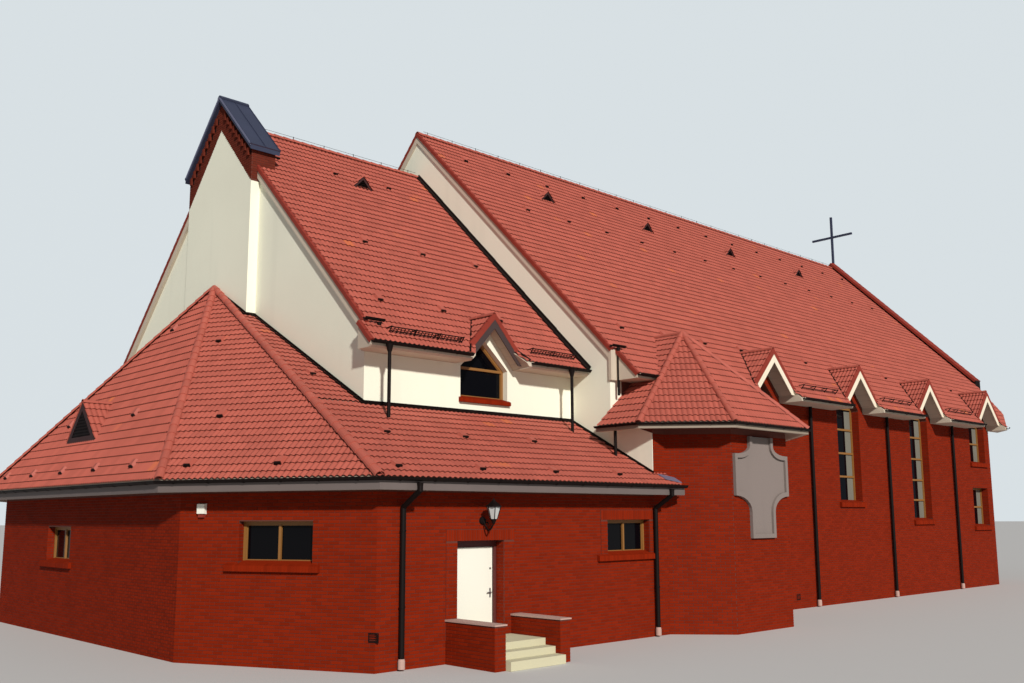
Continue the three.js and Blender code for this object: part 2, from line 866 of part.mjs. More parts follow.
// Slanted and end walls, with their windows cut along the wall's own direction
const slantedWindow = (i) => {
  const { from, to, sill, head } = CORNER_WINDOW;
  return i === 1
    ? rectangle(wallLength(i) - to, wallLength(i) - from, sill, head)
    : rectangle(from, to, sill, head);
};
const endWallWindow = rectangle(
  ANNEX.corners[2][1] - EAST_WINDOW.to,
  ANNEX.corners[2][1] - EAST_WINDOW.from,
  EAST_WINDOW.sill,
  EAST_WINDOW.head,
);
const ringWindows = { 1: slantedWindow(1), 2: endWallWindow, 3: slantedWindow(3) };
const ringNames = { 1: "southeast", 2: "east", 3: "northeast" };
for (const i of [1, 2, 3]) {
  const cut = alongWall(prismY(ringWindows[i], -CUT, WALL + CUT), i);
  place(
    "annex",
    "annex_wall_" + ringNames[i],
    prismZ(annexWallPlan(i), 0, wallRise).intersect(underAnnexRoof).subtract(cut),
    BRICK,
  );
}

// Glass of the annex: a sheet on the inside of each wall, joined round the corners
const sheetOuter = inset(annexOutline, WALL + JOINT);
const sheetInner = inset(annexOutline, WALL + JOINT + GLASS.thick);
const ringFrame = (opening, i) => {
  const { outline, hole } = frameRing(opening, GLASS.frame);
  return alongWall(pierced(prismY, outline, WALL - GLASS.frameDepth, WALL + JOINT + 1, [hole]), i);
};
const ringSheet = prismZ(
  [...sheetOuter.slice(1, 5), ...sheetInner.slice(1, 5).reverse()],
  ...sheetRange(Object.values(ringWindows))[1],
);
const ringFrames = [1, 2, 3].map((i) => ringFrame(ringWindows[i], i));
place("annex", "annex_windows_east", union([ringSheet, ...ringFrames]), PANE);
place("annex", "annex_window_south", glazing([southWindow], SOUTH, -southInner), PANE);
place("annex", "annex_windows_north", glazing(northWindows, NORTH, -southInner), PANE);

// Floor of the annex, round the chancel
const annexFloor = [
  ...annexInner,
  [0, CHANCEL.half],
  [CHANCEL.face, CHANCEL.half],
  [CHANCEL.face, PYLON.half],
  [PYLON.face, PYLON.half],
  [PYLON.face, -PYLON.half],
  [CHANCEL.face, -PYLON.half],
  [CHANCEL.face, -CHANCEL.half],
  [0, -CHANCEL.half],
];
place("annex", "annex_floor", prismZ(inset(annexFloor, JOINT), 0, FLOOR_TOP - JOINT), CONCRETE);

// Side bays
function bayPlan(side) {
  return mirrorPlan(
    [
      [0, NAVE.half + JOINT],
      [0, BAY.side],
      [BAY.chamferFrom, BAY.side],
      [BAY.chamferTo, BAY.front],
      [BAY.farFrom, BAY.front],
      [BAY.farTo, BAY.side],
      [BAY.farSide, BAY.side],
      [BAY.farSide, NAVE.half + JOINT],
    ],
    side,
  );
}

// Everything that lies a given drop below the hipped roof of a bay
function underBayRoof(side, drop) {
  const { left, right, cornerLeft, cornerRight, sideY, frontY, eaveZ, back } = BAY_ROOF;
  const peak = [BAY_ROOF.apexX, BAY_ROOF.apexY, BAY_ROOF.apexZ];
  const rim = [
    [left, back],
    [left, sideY],
    [cornerLeft, frontY],
    [cornerRight, frontY],
    [right, sideY],
    [right, back],
  ];
  return rim
    .slice(1)
    .map((end, i) => planeThrough([...rim[i], eaveZ], [...end, eaveZ], peak))
    .map((plane) => slopedSlab(mirrorPlan(rim, side), { ...plane, b: plane.b * side }, 2 * NAVE.ridge))
    .reduce((common, next) => common.intersect(next))
    .translate(0, 0, -drop);
}

function bayWalls(side) {
  const outer = bayPlan(side);
  const openEnd = side * (NAVE.half - CUT);
  const hollow = inset(outer, BAY.wall).map(([x, y], i) => (i === 0 || i === 7 ? [x, openEnd] : [x, y]));
  return prismZ(outer, 0, BAY.wallRise)
    .subtract(prismZ(hollow, -CUT, BAY.wallRise + CUT))
    .intersect(underBayRoof(side, BAY_ROOF.thick + JOINT));
}

function bayRoof(side) {
  const { left, right, frontY, eaveZ, apexZ, edge, thick } = BAY_ROOF;
  const top = apexZ + CUT;
  const lowest = box(left - CUT, right + CUT, -frontY - CUT, frontY + CUT, eaveZ - edge, top);
  const shell = underBayRoof(side, 0).intersect(lowest).subtract(underBayRoof(side, thick));
  const [nearHall, farHall] = [NAVE.half + JOINT, frontY + CUT];
  const meets = NAVE.half + 200;
  const outside = union([
    sideBox(side, left - CUT, right + CUT, nearHall, farHall, 0, top),
    prismX(
      [
        [side * meets, naveUnder(meets) + NAVE.thick + JOINT],
        [side * ((NAVE.ridge + JOINT - top) / naveSlope), top],
        [side * meets, top],
      ],
      NAVE.lowVergeX,
      right + CUT,
    ),
  ]);
  const eaveZone = prismX(
    [
      [side * (NAVE.half - 10), naveUnder(NAVE.half - 10) - JOINT],
      [side * (NAVE.half - 10), NAVE.eaveBase - 2 * JOINT],
      [side * (NAVE.eaveY + JOINT), NAVE.eaveBase - 2 * JOINT],
      [side * (NAVE.eaveY + JOINT), NAVE.eaveZ + JOINT],
      [side * (NAVE.half - 10), naveUnder(NAVE.half - 10) + NAVE.thick + 2 * JOINT],
    ],
    NAVE.vergeX - 2 * JOINT,
    right + CUT,
  );
  const hood = prismY(
    gabletTunnel(gabletCentres[0], { ...GABLET, half: GABLET.half + 90, apex: GABLET.apex + 330 }, 5000),
    side * 8000,
    side * (GABLET.frontY + JOINT),
  );
  return shell.intersect(outside).subtract(eaveZone).subtract(hood);
}

// Raised plaster panel with a neck above and a stem below, on the bay's front
function bayPanel(side) {
  const { x, half, neck, stem, top, bottom } = PANEL;
  const { bodyTop, bodyBottom, stemTop, neckBottom } = PANEL_LEVELS;
  const right = [
    [stem, bottom],
    [stem, stemTop],
    [half * 0.72, bodyBottom - 60],
    [half, bodyBottom],
    [half, bodyTop],
    [half * 0.72, bodyTop + 60],
    [neck, neckBottom],
    [neck, top],
  ];
  const outline = [
    ...right.map(([dx, z]) => [x + dx, z]),
    ...[...right].reverse().map(([dx, z]) => [x - dx, z]),
  ];
  return prismY(outline, side * (BAY.front + JOINT), side * (BAY.front + PANEL.out));
}

for (const side of [SOUTH, NORTH]) {
  place("bays", "bay_walls_" + sideName(side), bayWalls(side), PLASTER);
  place("bays", "bay_roof_" + sideName(side), bayRoof(side), TILE);
  place("bays", "bay_panel_" + sideName(side), bayPanel(side), STONE);
}

// Open gutters with their downpipes
function gutterRun(from, to) {
  const start = new THREE.Vector3(from[0], from[1], 0);
  const along = new THREE.Vector3(to[0], to[1], 0).sub(start);
  const { width, height, wall } = GUTTER;
  const section = [
    [0, 0],
    [width, 0],
    [width, height],
    [width - wall, height],
    [width - wall, wall],
    [wall, wall],
    [wall, height],
    [0, height],
  ];
  const angle = Math.atan2(along.y, along.x);
  const trough = geometryOf(prismX(section.map(([a, z]) => [-a, z]), 0, along.length()));
  const turned = new THREE.Matrix4().makeRotationZ(angle).setPosition(from[0], from[1], from[2]);
  return solid(trough.applyMatrix4(turned));
}

// A downpipe: out of the gutter, back to the wall, and down to the foot
function downpipe(x, gutterY, wallY, top, foot) {
  const outward = Math.sign(gutterY);
  const pipeY = wallY + outward * (PIPE.radius + PIPE.wallGap);
  const clipY = wallY + outward * JOINT;
  const drop = Math.abs(gutterY - pipeY) * 0.7;
  const neck = top - PIPE.drop;
  const clips = [neck - drop - 400, foot + 500].map((z) =>
    box(x - 20, x + 20, ...sided(1, clipY, pipeY), z - 15, z + 15),
  );
  return union([
    bar([x, gutterY, top + 20], [x, gutterY, neck], PIPE.radius),
    bar([x, gutterY, neck + 10], [x, pipeY, neck - drop], PIPE.radius),
    bar([x, pipeY, neck - drop + 10], [x, pipeY, foot], PIPE.radius),
    ...clips,
  ]);
}

function hallGutter(side, hall, from, to, pipes, pipeFoot) {
  const edge = hall.eaveY + JOINT;
  const base = hall.eaveZ - 120;
  const ends = [from, to].map((x) => [x, side * edge, base]);
  const run = side === SOUTH ? ends : ends.reverse();
  const line = side * (edge + GUTTER.width / 2);
  return union([
    gutterRun(...run),
    ...pipes.map(([x, foot]) => downpipe(x, line, side * hall.half, base, foot ?? pipeFoot)),
  ]);
}

const navePipes = NAVE_PIPES.map((x) => [x]);
for (const side of [SOUTH, NORTH]) {
  const pipeFoot = heightOn(facets[0], 0, -CHANCEL.half - PIPE.wallGap) + JOINT;
  place(
    "nave",
    "nave_gutter_" + sideName(side),
    hallGutter(side, NAVE, BAY_ROOF.right + 100, NAVE.sideEnd + 50, navePipes, PIPE.foot),
    DARK_METAL,
  );
  place(
    "chancel",
    "chancel_gutter_" + sideName(side),
    hallGutter(side, CHANCEL, CHANCEL.lowVergeX, -80, [[CHANCEL_PIPE, pipeFoot]], PIPE.foot),
    DARK_METAL,
  );
}

// The annex gutter follows the eave round its corners
function annexLine(out) {
  const line = inset(annexOutline, -ANNEX.overhang - out);
  return line.map(([x, y], i) => (i === 0 || i === 5 ? [ANNEX.eaveEndX, y] : [x, y]));
}

const annexRing = (near, far, z0, z1) => prismZ([...annexLine(near), ...annexLine(far).reverse()], z0, z1);
const gutterZ = ANNEX.eaveZ - 130;
const [gutterNear, gutterFar] = [JOINT, JOINT + GUTTER.width];
const annexPipeY = -southFace + ANNEX.overhang + gutterFar - GUTTER.width / 2;
const annexPipes = [SOUTH, NORTH].flatMap((side) =>
  ANNEX_PIPES.map((x) => downpipe(x, side * annexPipeY, side * -southFace, gutterZ, PIPE.foot)),
);
place(
  "annex",
  "annex_gutter",
  union([
    annexRing(gutterNear, gutterFar, gutterZ, gutterZ + GUTTER.wall),
    annexRing(gutterNear, gutterNear + GUTTER.wall, gutterZ, gutterZ + GUTTER.height),
    annexRing(gutterFar - GUTTER.wall, gutterFar, gutterZ, gutterZ + GUTTER.height),
    ...annexPipes,
  ]),
  DARK_METAL,
);

// Entrance: frame, leaf, steps and lantern
const leafFace = southFace + DOOR.recess;
const leafBack = leafFace + DOOR.leafThick;
const frameOutline = [
  [DOOR.from + JOINT, FLOOR_TOP],
  [DOOR.from + FRAME.width, FLOOR_TOP],
  [DOOR.from + FRAME.width, DOOR.leafHead + DOOR_GAP],
  [DOOR.to - FRAME.width, DOOR.leafHead + DOOR_GAP],
  [DOOR.to - FRAME.width, FLOOR_TOP],
  [DOOR.to - JOINT, FLOOR_TOP],
  [DOOR.to - JOINT, DOOR.head - JOINT],
  [DOOR.from + JOINT, DOOR.head - JOINT],
];
const hinge = [DOOR.from + FRAME.width + DOOR_GAP / 2, leafBack + HINGE.offset];
const knuckle = (z0, z1) => bar([...hinge, z0], [...hinge, z1], HINGE.radius, 12);
const frameHinges = HINGE.levels.map((z) =>
  union([
    knuckle(z - HINGE.height, z - JOINT / 2),
    box(hinge[0] - HINGE.flap, hinge[0], leafBack - 5, hinge[1], z - HINGE.height, z - JOINT / 2),
  ]),
);
const frameShape = prismY(frameOutline, leafBack - FRAME.depth, leafBack);
place("entrance", "door_frame", union([frameShape, ...frameHinges]), DOOR_PAINT);

const leaf = box(
  DOOR.from + FRAME.width + DOOR_GAP,
  DOOR.to - FRAME.width - DOOR_GAP,
  leafFace,
  leafBack,
  FLOOR_TOP + DOOR_GAP,
  DOOR.leafHead,
);
const leafHinges = HINGE.levels.map((z) =>
  union([
    knuckle(z + JOINT / 2, z + HINGE.height),
    box(hinge[0], hinge[0] + HINGE.flap, leafBack - 5, hinge[1], z + JOINT / 2, z + HINGE.height),
  ]),
);
const handleX = DOOR.to - FRAME.width - DOOR_GAP - HANDLE.inset;
const handleBar = (x0, y0, x1, y1) => bar([x0, y0, HANDLE.z], [x1, y1, HANDLE.z], HANDLE.radius);
const lever = (y) => handleBar(handleX + HANDLE.tail, y, handleX - HANDLE.tip, y);
const handle = union([
  handleBar(handleX, leafFace - HANDLE.reach, handleX, leafBack + HANDLE.reach),
  lever(leafFace - HANDLE.lever),
  lever(leafBack + HANDLE.lever),
]);
place("entrance", "door_leaf", union([leaf, ...leafHinges, handle]), DOOR_PAINT);

// Steps and platform with a brick wall on each side, one mass of masonry
const platformTop = FLOOR_TOP - JOINT;
const stepEdges = [0, 1, 2].map((i) => ({
  far: STEPS.platformY + i * STEPS.tread,
  top: platformTop - i * STEPS.rise,
}));
const stepProfile = [
  [southFace - JOINT, 0],
  [southFace - JOINT, platformTop],
  ...stepEdges.flatMap(({ far, top }) => [
    [-far, top],
    [-far, top - STEPS.rise],
  ]),
  [-stepEdges[2].far, 0],
];
const flight = prismX(stepProfile, STEPS.from - 20, STEPS.to + 20);
const stepWalls = [
  [STEPS.from - STEP_WALL.thick, STEPS.from],
  [STEPS.to, STEPS.to + STEP_WALL.thick],
].map(([x0, x1]) => {
  const { copingOver: over, front, height, coping } = STEP_WALL;
  return union([
    box(x0, x1, -front, southFace - JOINT, 0, height - coping / 2),
    box(x0 - over, x1 + over, -front - over, southFace - JOINT, height - coping, height),
  ]);
});
const threshold = box(
  DOOR.from + JOINT,
  DOOR.to - JOINT,
  southFace - WALL,
  southInner - JOINT,
  0,
  platformTop,
);
place("entrance", "door_steps", union([flight, ...stepWalls, threshold]), STONE);

function lantern() {
  const { x, bottom, top, radius } = LANTERN;
  const { plate, plateLow, plateHigh, plateThick, z } = LANTERN_ARM;
  const y = southFace - LANTERN.out;
  return union([
    box(x - plate, x + plate, southFace - plateThick, southFace - JOINT, plateLow, plateHigh),
    bar([x, southFace - plateThick / 2, z], [x, y, z], LANTERN_ARM.radius),
    bar([x, y, bottom], [x, y, top], radius, 6),
  ]);
}

place("entrance", "wall_lantern", lantern(), DARK_METAL);

// Origin under the middle of the building
const lowX = annexLine(gutterFar)[2][0];
const highX = PARAPET.outer;
Object.values(groups).forEach((group) => group.position.setX(-(lowX + highX) / 2));
building.scale.setScalar(MODEL_SCALE);

export default building;
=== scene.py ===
import math
import random

import bmesh
import bpy
import numpy as np
from bpy.props import FloatProperty, FloatVectorProperty, PointerProperty
from mathutils import Matrix, Vector


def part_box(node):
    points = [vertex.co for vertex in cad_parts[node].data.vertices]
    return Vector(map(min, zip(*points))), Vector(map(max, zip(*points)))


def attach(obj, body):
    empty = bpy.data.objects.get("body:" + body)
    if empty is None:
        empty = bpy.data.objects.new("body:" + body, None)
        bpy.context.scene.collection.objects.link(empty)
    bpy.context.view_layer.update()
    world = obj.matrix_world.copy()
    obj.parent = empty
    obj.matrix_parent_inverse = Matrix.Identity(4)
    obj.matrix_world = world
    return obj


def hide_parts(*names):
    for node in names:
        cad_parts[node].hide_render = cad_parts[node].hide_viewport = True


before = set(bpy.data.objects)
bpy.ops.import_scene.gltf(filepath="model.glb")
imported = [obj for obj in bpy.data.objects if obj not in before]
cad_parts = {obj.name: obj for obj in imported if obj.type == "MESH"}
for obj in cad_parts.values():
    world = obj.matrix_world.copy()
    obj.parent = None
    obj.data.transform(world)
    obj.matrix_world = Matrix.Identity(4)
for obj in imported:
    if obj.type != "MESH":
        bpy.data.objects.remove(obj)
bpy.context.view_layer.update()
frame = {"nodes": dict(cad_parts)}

bl_info = {
    "name": "Church Building",
    "version": (1, 0, 0),
    "blender": (4, 5, 0),
    "location": "View3D > Sidebar > Church",
    "description": "Brickwork, tiled roofs, windows and fittings of a church building",
    "category": "Object",
}


def paint(red, green, blue):
    """A colour as seen on screen, from 0 to 255, as the linear colour that a shader takes."""
    shares = (red / 255, green / 255, blue / 255)
    return tuple(((c + 0.055) / 1.055) ** 2.4 if c > 0.04 else c / 12.92 for c in shares)


# The building is drawn in real metres, and the model is half its size
SCALE = 0.5
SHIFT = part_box("nave_east_gable_wall")[0].x
SOUTH = -1
NORTH = 1
SIDES = ((SOUTH, "south"), (NORTH, "north"))
Z = Vector((0, 0, 1))

# Main hall
NAVE_HALF = 9.3
NAVE_SIDE_END = 27.1
NAVE_WEST = 30.7
NAVE_WEST_HALF = 7.0
NAVE_RIDGE = 17.33
NAVE_EAVE = (10.19, 7.22)  # distance from the middle, height
NAVE_EAVE_BASE = 7.12
NAVE_VERGE_X = -0.05
NAVE_LOW_VERGE_X = 0.17
NAVE_VERGE_FOOT = 9.4
PARAPET_X = (30.15, 30.7)
NAVE_CUT_Y = 7.85
NAVE_CORNER_X = 28.9
NAVE = (NAVE_EAVE, NAVE_RIDGE)
NAVE_SLOPE = (NAVE_RIDGE - NAVE_EAVE[1]) / NAVE_EAVE[0]
ROOF_THICK = 0.35
WALL = 0.5

# Windows of the nave, with their gablets and the fittings of its roof
BAY_WIDTH = 5.98
GABLETS = [7.8 + i * BAY_WIDTH for i in range(4)]
GABLET_HALF = 1.27
GABLET_FOOT = 7.28
GABLET_APEX = 8.6
GABLET_FRONT = 9.9
GABLET_THICK = 0.23
GABLET_REACH = 3.4
NAVE_PIPES = (10.88, 16.76, 22.88)
NAVE_DORMERS = (2.15, (4.74, 10.81, 16.92, 22.95))  # distance of the fronts from the middle, places along
DORMER_HALF = 0.42
DORMER_RISE = 0.46
DORMER_SLATS = 4
NAVE_VENTS = (1.5, 29.5, (2.45, 9.9, 13.0))  # first and last place along, rows up the slope
PARAPET_RISE = 0.32
PARAPET_HALF = 7.7
TALL_HALF = 0.84
TALL_SILLS = (3.7, 3.7, 3.0, 5.58)
TALL_SPRING = 7.25
TALL_APEX = 8.05
LOW_WINDOW = (2.7, 4.42)  # sill, head
NAVE_OPENINGS = [(at, sill, TALL_SPRING, TALL_APEX) for at, sill in zip(GABLETS, TALL_SILLS)]
NAVE_OPENINGS.append((GABLETS[3], *LOW_WINDOW, LOW_WINDOW[1]))
LOW_TRANSOM = 3.56
TRANSOMS = (3.83, 4.67, 5.56, 6.47, 7.29)
WEST_WINDOWS = (2.965, 0.97, 3.7, 8.05)  # distance from the middle, half width, sill, head
RECESS = 0.25
NAVE_RECESS = 0.36
FRAME_DEPTH = 0.07
FRAME_BEAD = 0.025
MULLION_HALF = 0.035
TRANSOM_HALF = 0.04
BRICK_BEVEL = 0.0025
SHORTEST_BRICK = 0.03

# Chancel
CHANCEL_HALF = 7.73
CHANCEL_FACE = -7.53
CHANCEL_RIDGE = 15.63
CHANCEL_EAVE = (8.46, 7.47)  # distance from the middle, height
CHANCEL = (CHANCEL_EAVE, CHANCEL_RIDGE)
CHANCEL_VERGE_X = -7.63
CHANCEL_LOW_VERGE_X = -7.85
CHANCEL_VERGE_FOOT = 7.9
CHANCEL_GABLET = (-3.5, 1.12, 8.15, 7.29, 8.51)  # place along, half width, front, foot, apex
CHANCEL_WINDOW = (0.87, 6.42, 7.29, 8.07)  # half width, sill, spring, apex
CHANCEL_PIPES = (-7.33, -0.8)
CHANCEL_DORMERS = (1.8, (-3.61,))
CHANCEL_VENTS = (-6.6, -0.9, (2.0, 5.3, 9.9))

# Bell gable
PYLON_X = (-7.83, -7.05)
PYLON_HALF = 2.06
PYLON_SHOULDER = 13.2
PYLON_PANEL_APEX = 15.36
PYLON_TEETH = 9
PYLON_TOOTH_APART = 0.2
SEAM = 0.015
PYLON_ROOF = (-7.95, -6.97, 2.19, 14.3, 16.47, 0.17)  # front, back, half width, eave, ridge, thickness

# Ring of low rooms
ANNEX_CORNERS = ((0.0, -10.82), (-9.25, -10.82), (-11.5, -6.3), (-11.5, 6.3), (-9.25, 10.82), (0.0, 10.82))
ANNEX_OVERHANG = 0.61
ANNEX_EAVE_Z = 4.0
ANNEX_APEX = Vector((-7.83, 0.0, 10.18))
ANNEX_END_X = 0.565
ANNEX_NAMES = ("south", "southeast", "east", "northeast", "north")
ANNEX_COURSES = (1.0, 0.8, 0.94, 0.8, 1.0)
SIDE_WINDOW = (-1.96, -0.24, 2.22, 3.11)  # both sides, sill, head
NORTH_WINDOW_SHIFT = -4.4
CORNER_WINDOW = (1.55, 3.45, 2.19, 3.12)  # both sides, sill, head
EAST_WINDOW = (0.5, 2.3, 2.0, 2.96)  # both sides, sill, head
VENT_DORMER = (-11.2, 1.0, 1.1, 5.35, 6.5)  # front, middle, half width, foot, apex
ANNEX_PIPES = (-8.64, -0.07)
ANNEX_VENT_ROWS = (0.5, 2.35, 5.9)
ANNEX_VENTS_APART = 2.4
VENTS_APART = 2.15
VENT_TILES_BACK = (-10.2, -10.38)

# Entrance
DOOR = (-7.05, -5.62, 2.66)  # both sides, head
FLOOR = 0.51
DOOR_MARGIN = 0.32  # width of the raised bricks beside the door
WINDOW_MARGIN = 0.25
MARGIN_LIFT = 0.02
MARGIN_HEAD = 0.26
CORNER_BAND = ((1.45, 3.7), (3.14, 3.42))  # upright bricks over the corner window
LEAF_EDGE = 0.085
LEAF_TOP = 2.49
STEP_COUNT = 3
STEPS_X = (-7.06, -5.4)
STEPS_Y = 11.98
TREAD = 0.315
RISER = 0.155
STEP_WALL = (0.3, 12.45, 0.96, 0.04)  # width, front, height, thickness of the coping
LANTERN = (-6.29, 0.4, 3.05, 3.6)  # place along, distance from the wall, bottom, top
HANDLE = (-5.764, 1.45, 10.5)  # place along, height, outer face of the leaf

# Side bays
BAY_WALL = ((0.57, 10.82), (1.79, 12.18), (4.6, 12.18), (5.82, 10.82), (6.39, 10.82))
BAY_RIM = ((-0.62, 10.85), (1.15, 12.79), (4.86, 12.79), (6.81, 10.85))
BAY_EAVE_Z = 5.7
BAY_APEX = (3.005, 9.68, 8.8)
BAY_ROOF_BACK = 8.3
BAY_GUTTER_GAP = (1.4, 5.2)
# Place along, top, bottom, half widths of body, neck and stem, then the heights where they meet
PANEL = (3.16, 5.45, 2.57, 1.34, 0.59, 0.59, 4.93, 3.76, 3.31, 5.15)

# Trim, with its profiles as pairs of out and up
VERGE_TILE = 0.324
PARAPET_TILE = 0.36
VERGE = [(-0.08, 0.0), (-0.08, 0.05), (-0.02, 0.06), (0.025, 0.045), (0.03, -0.06), (0.0, -0.06)]
NAVE_FRONT_VERGE = [(-0.03, 0.0), (-0.03, 0.035), (0.0, 0.045), (0.025, 0.03), (0.025, -0.12), (0.0, -0.12)]
CHANCEL_FRONT_VERGE = [
    (-0.08, 0.005), (-0.08, 0.05), (0.0, 0.06), (0.03, 0.045), (0.03, -0.085), (0.0, -0.085)
]
NAVE_BOARD = (0.17, 0.27, 0.03)  # drop under the roof line, height, thickness
CHANCEL_BOARD = (0.12, 0.26, 0.025)  # the same
RIM = 0.02  # height of a gutter's edge over the eave
GUTTER_GAP = 0.01

# Pipes with their clips and shoes, and the snow guards
PIPE = 0.06
CLIP = 0.068
CLIPS_APART = 1.6
SHOE = [0.078, 0.078, 0.064]
GUARD_RAILS = (0.1, 0.22)
GUARD_TOP = 0.24
GUARD_POSTS_APART = 0.8
PICKETS_APART = 0.11

# Materials of the pieces, with the slot that each belongs to
METAL = ("dark gutter metal", "gutter_metal")
TILES = ("roof tile", "roof_tile")
RIDGE_TILES = ("ridge tile", "roof_tile")
VERGE_TILES = ("verge tile", "roof_tile")
BRICKS = ("face brick", "brick")
MORTAR = ("mortar", "brick")
COPING = ("coping stone", "concrete")

# The photograph's camera, with its place in real metres and its angles in degrees
PICTURE = (1024, 683)
FOCAL_PIXELS = 994.837
PRINCIPAL = (517.786, 361.626)
SENSOR = 36.0
CAMERA_YAW = 43.402
CAMERA_PITCH = 8.845
CAMERA_ROLL = -0.221
CAMERA_PLACE = (-21.706, -28.342, 3.204)

# The studio, with the sun's width in degrees
BACKDROP_REACH = 250
FLOOR_REACH = 300
FLOOR_COLOUR = paint(200, 198, 194)
BACKDROP_COLOUR = paint(214, 222, 226)
SUN_COLOUR = (1.0, 0.97, 0.93)
SUN_ANGLE = 3
SKY_COLOUR = (0.78, 0.86, 1.0)
SUN_DIRECTION = Vector((0.45, 1.0, -0.56))

rng = random.Random(7)


def any_tone():
    """A tone for one tile or brick; what is below a tenth is kept for the shadow under a tile's edge."""
    return 0.1 + 0.9 * rng.random()


# Geometry


class Face:
    """A flat surface in space: u runs along it, v up it, and h stands out of it."""

    def __init__(self, origin, along, up):
        self.origin = Vector(origin)
        self.along = Vector(along).normalized()
        self.up = Vector(up).normalized()
        self.out = self.along.cross(self.up)

    def at(self, u, v, h=0.0):
        return self.origin + self.along * u + self.up * v + self.out * h

    def many(self, uvh):
        basis = np.array([self.along, self.up, self.out])
        return np.array(self.origin) + np.asarray(uvh) @ basis


def upright(start, end):
    """The outer face of a wall that runs from start to end, with its outer side on the right."""
    origin = Vector((*start, 0))
    return Face(origin, Vector((*end, 0)) - origin, Z)


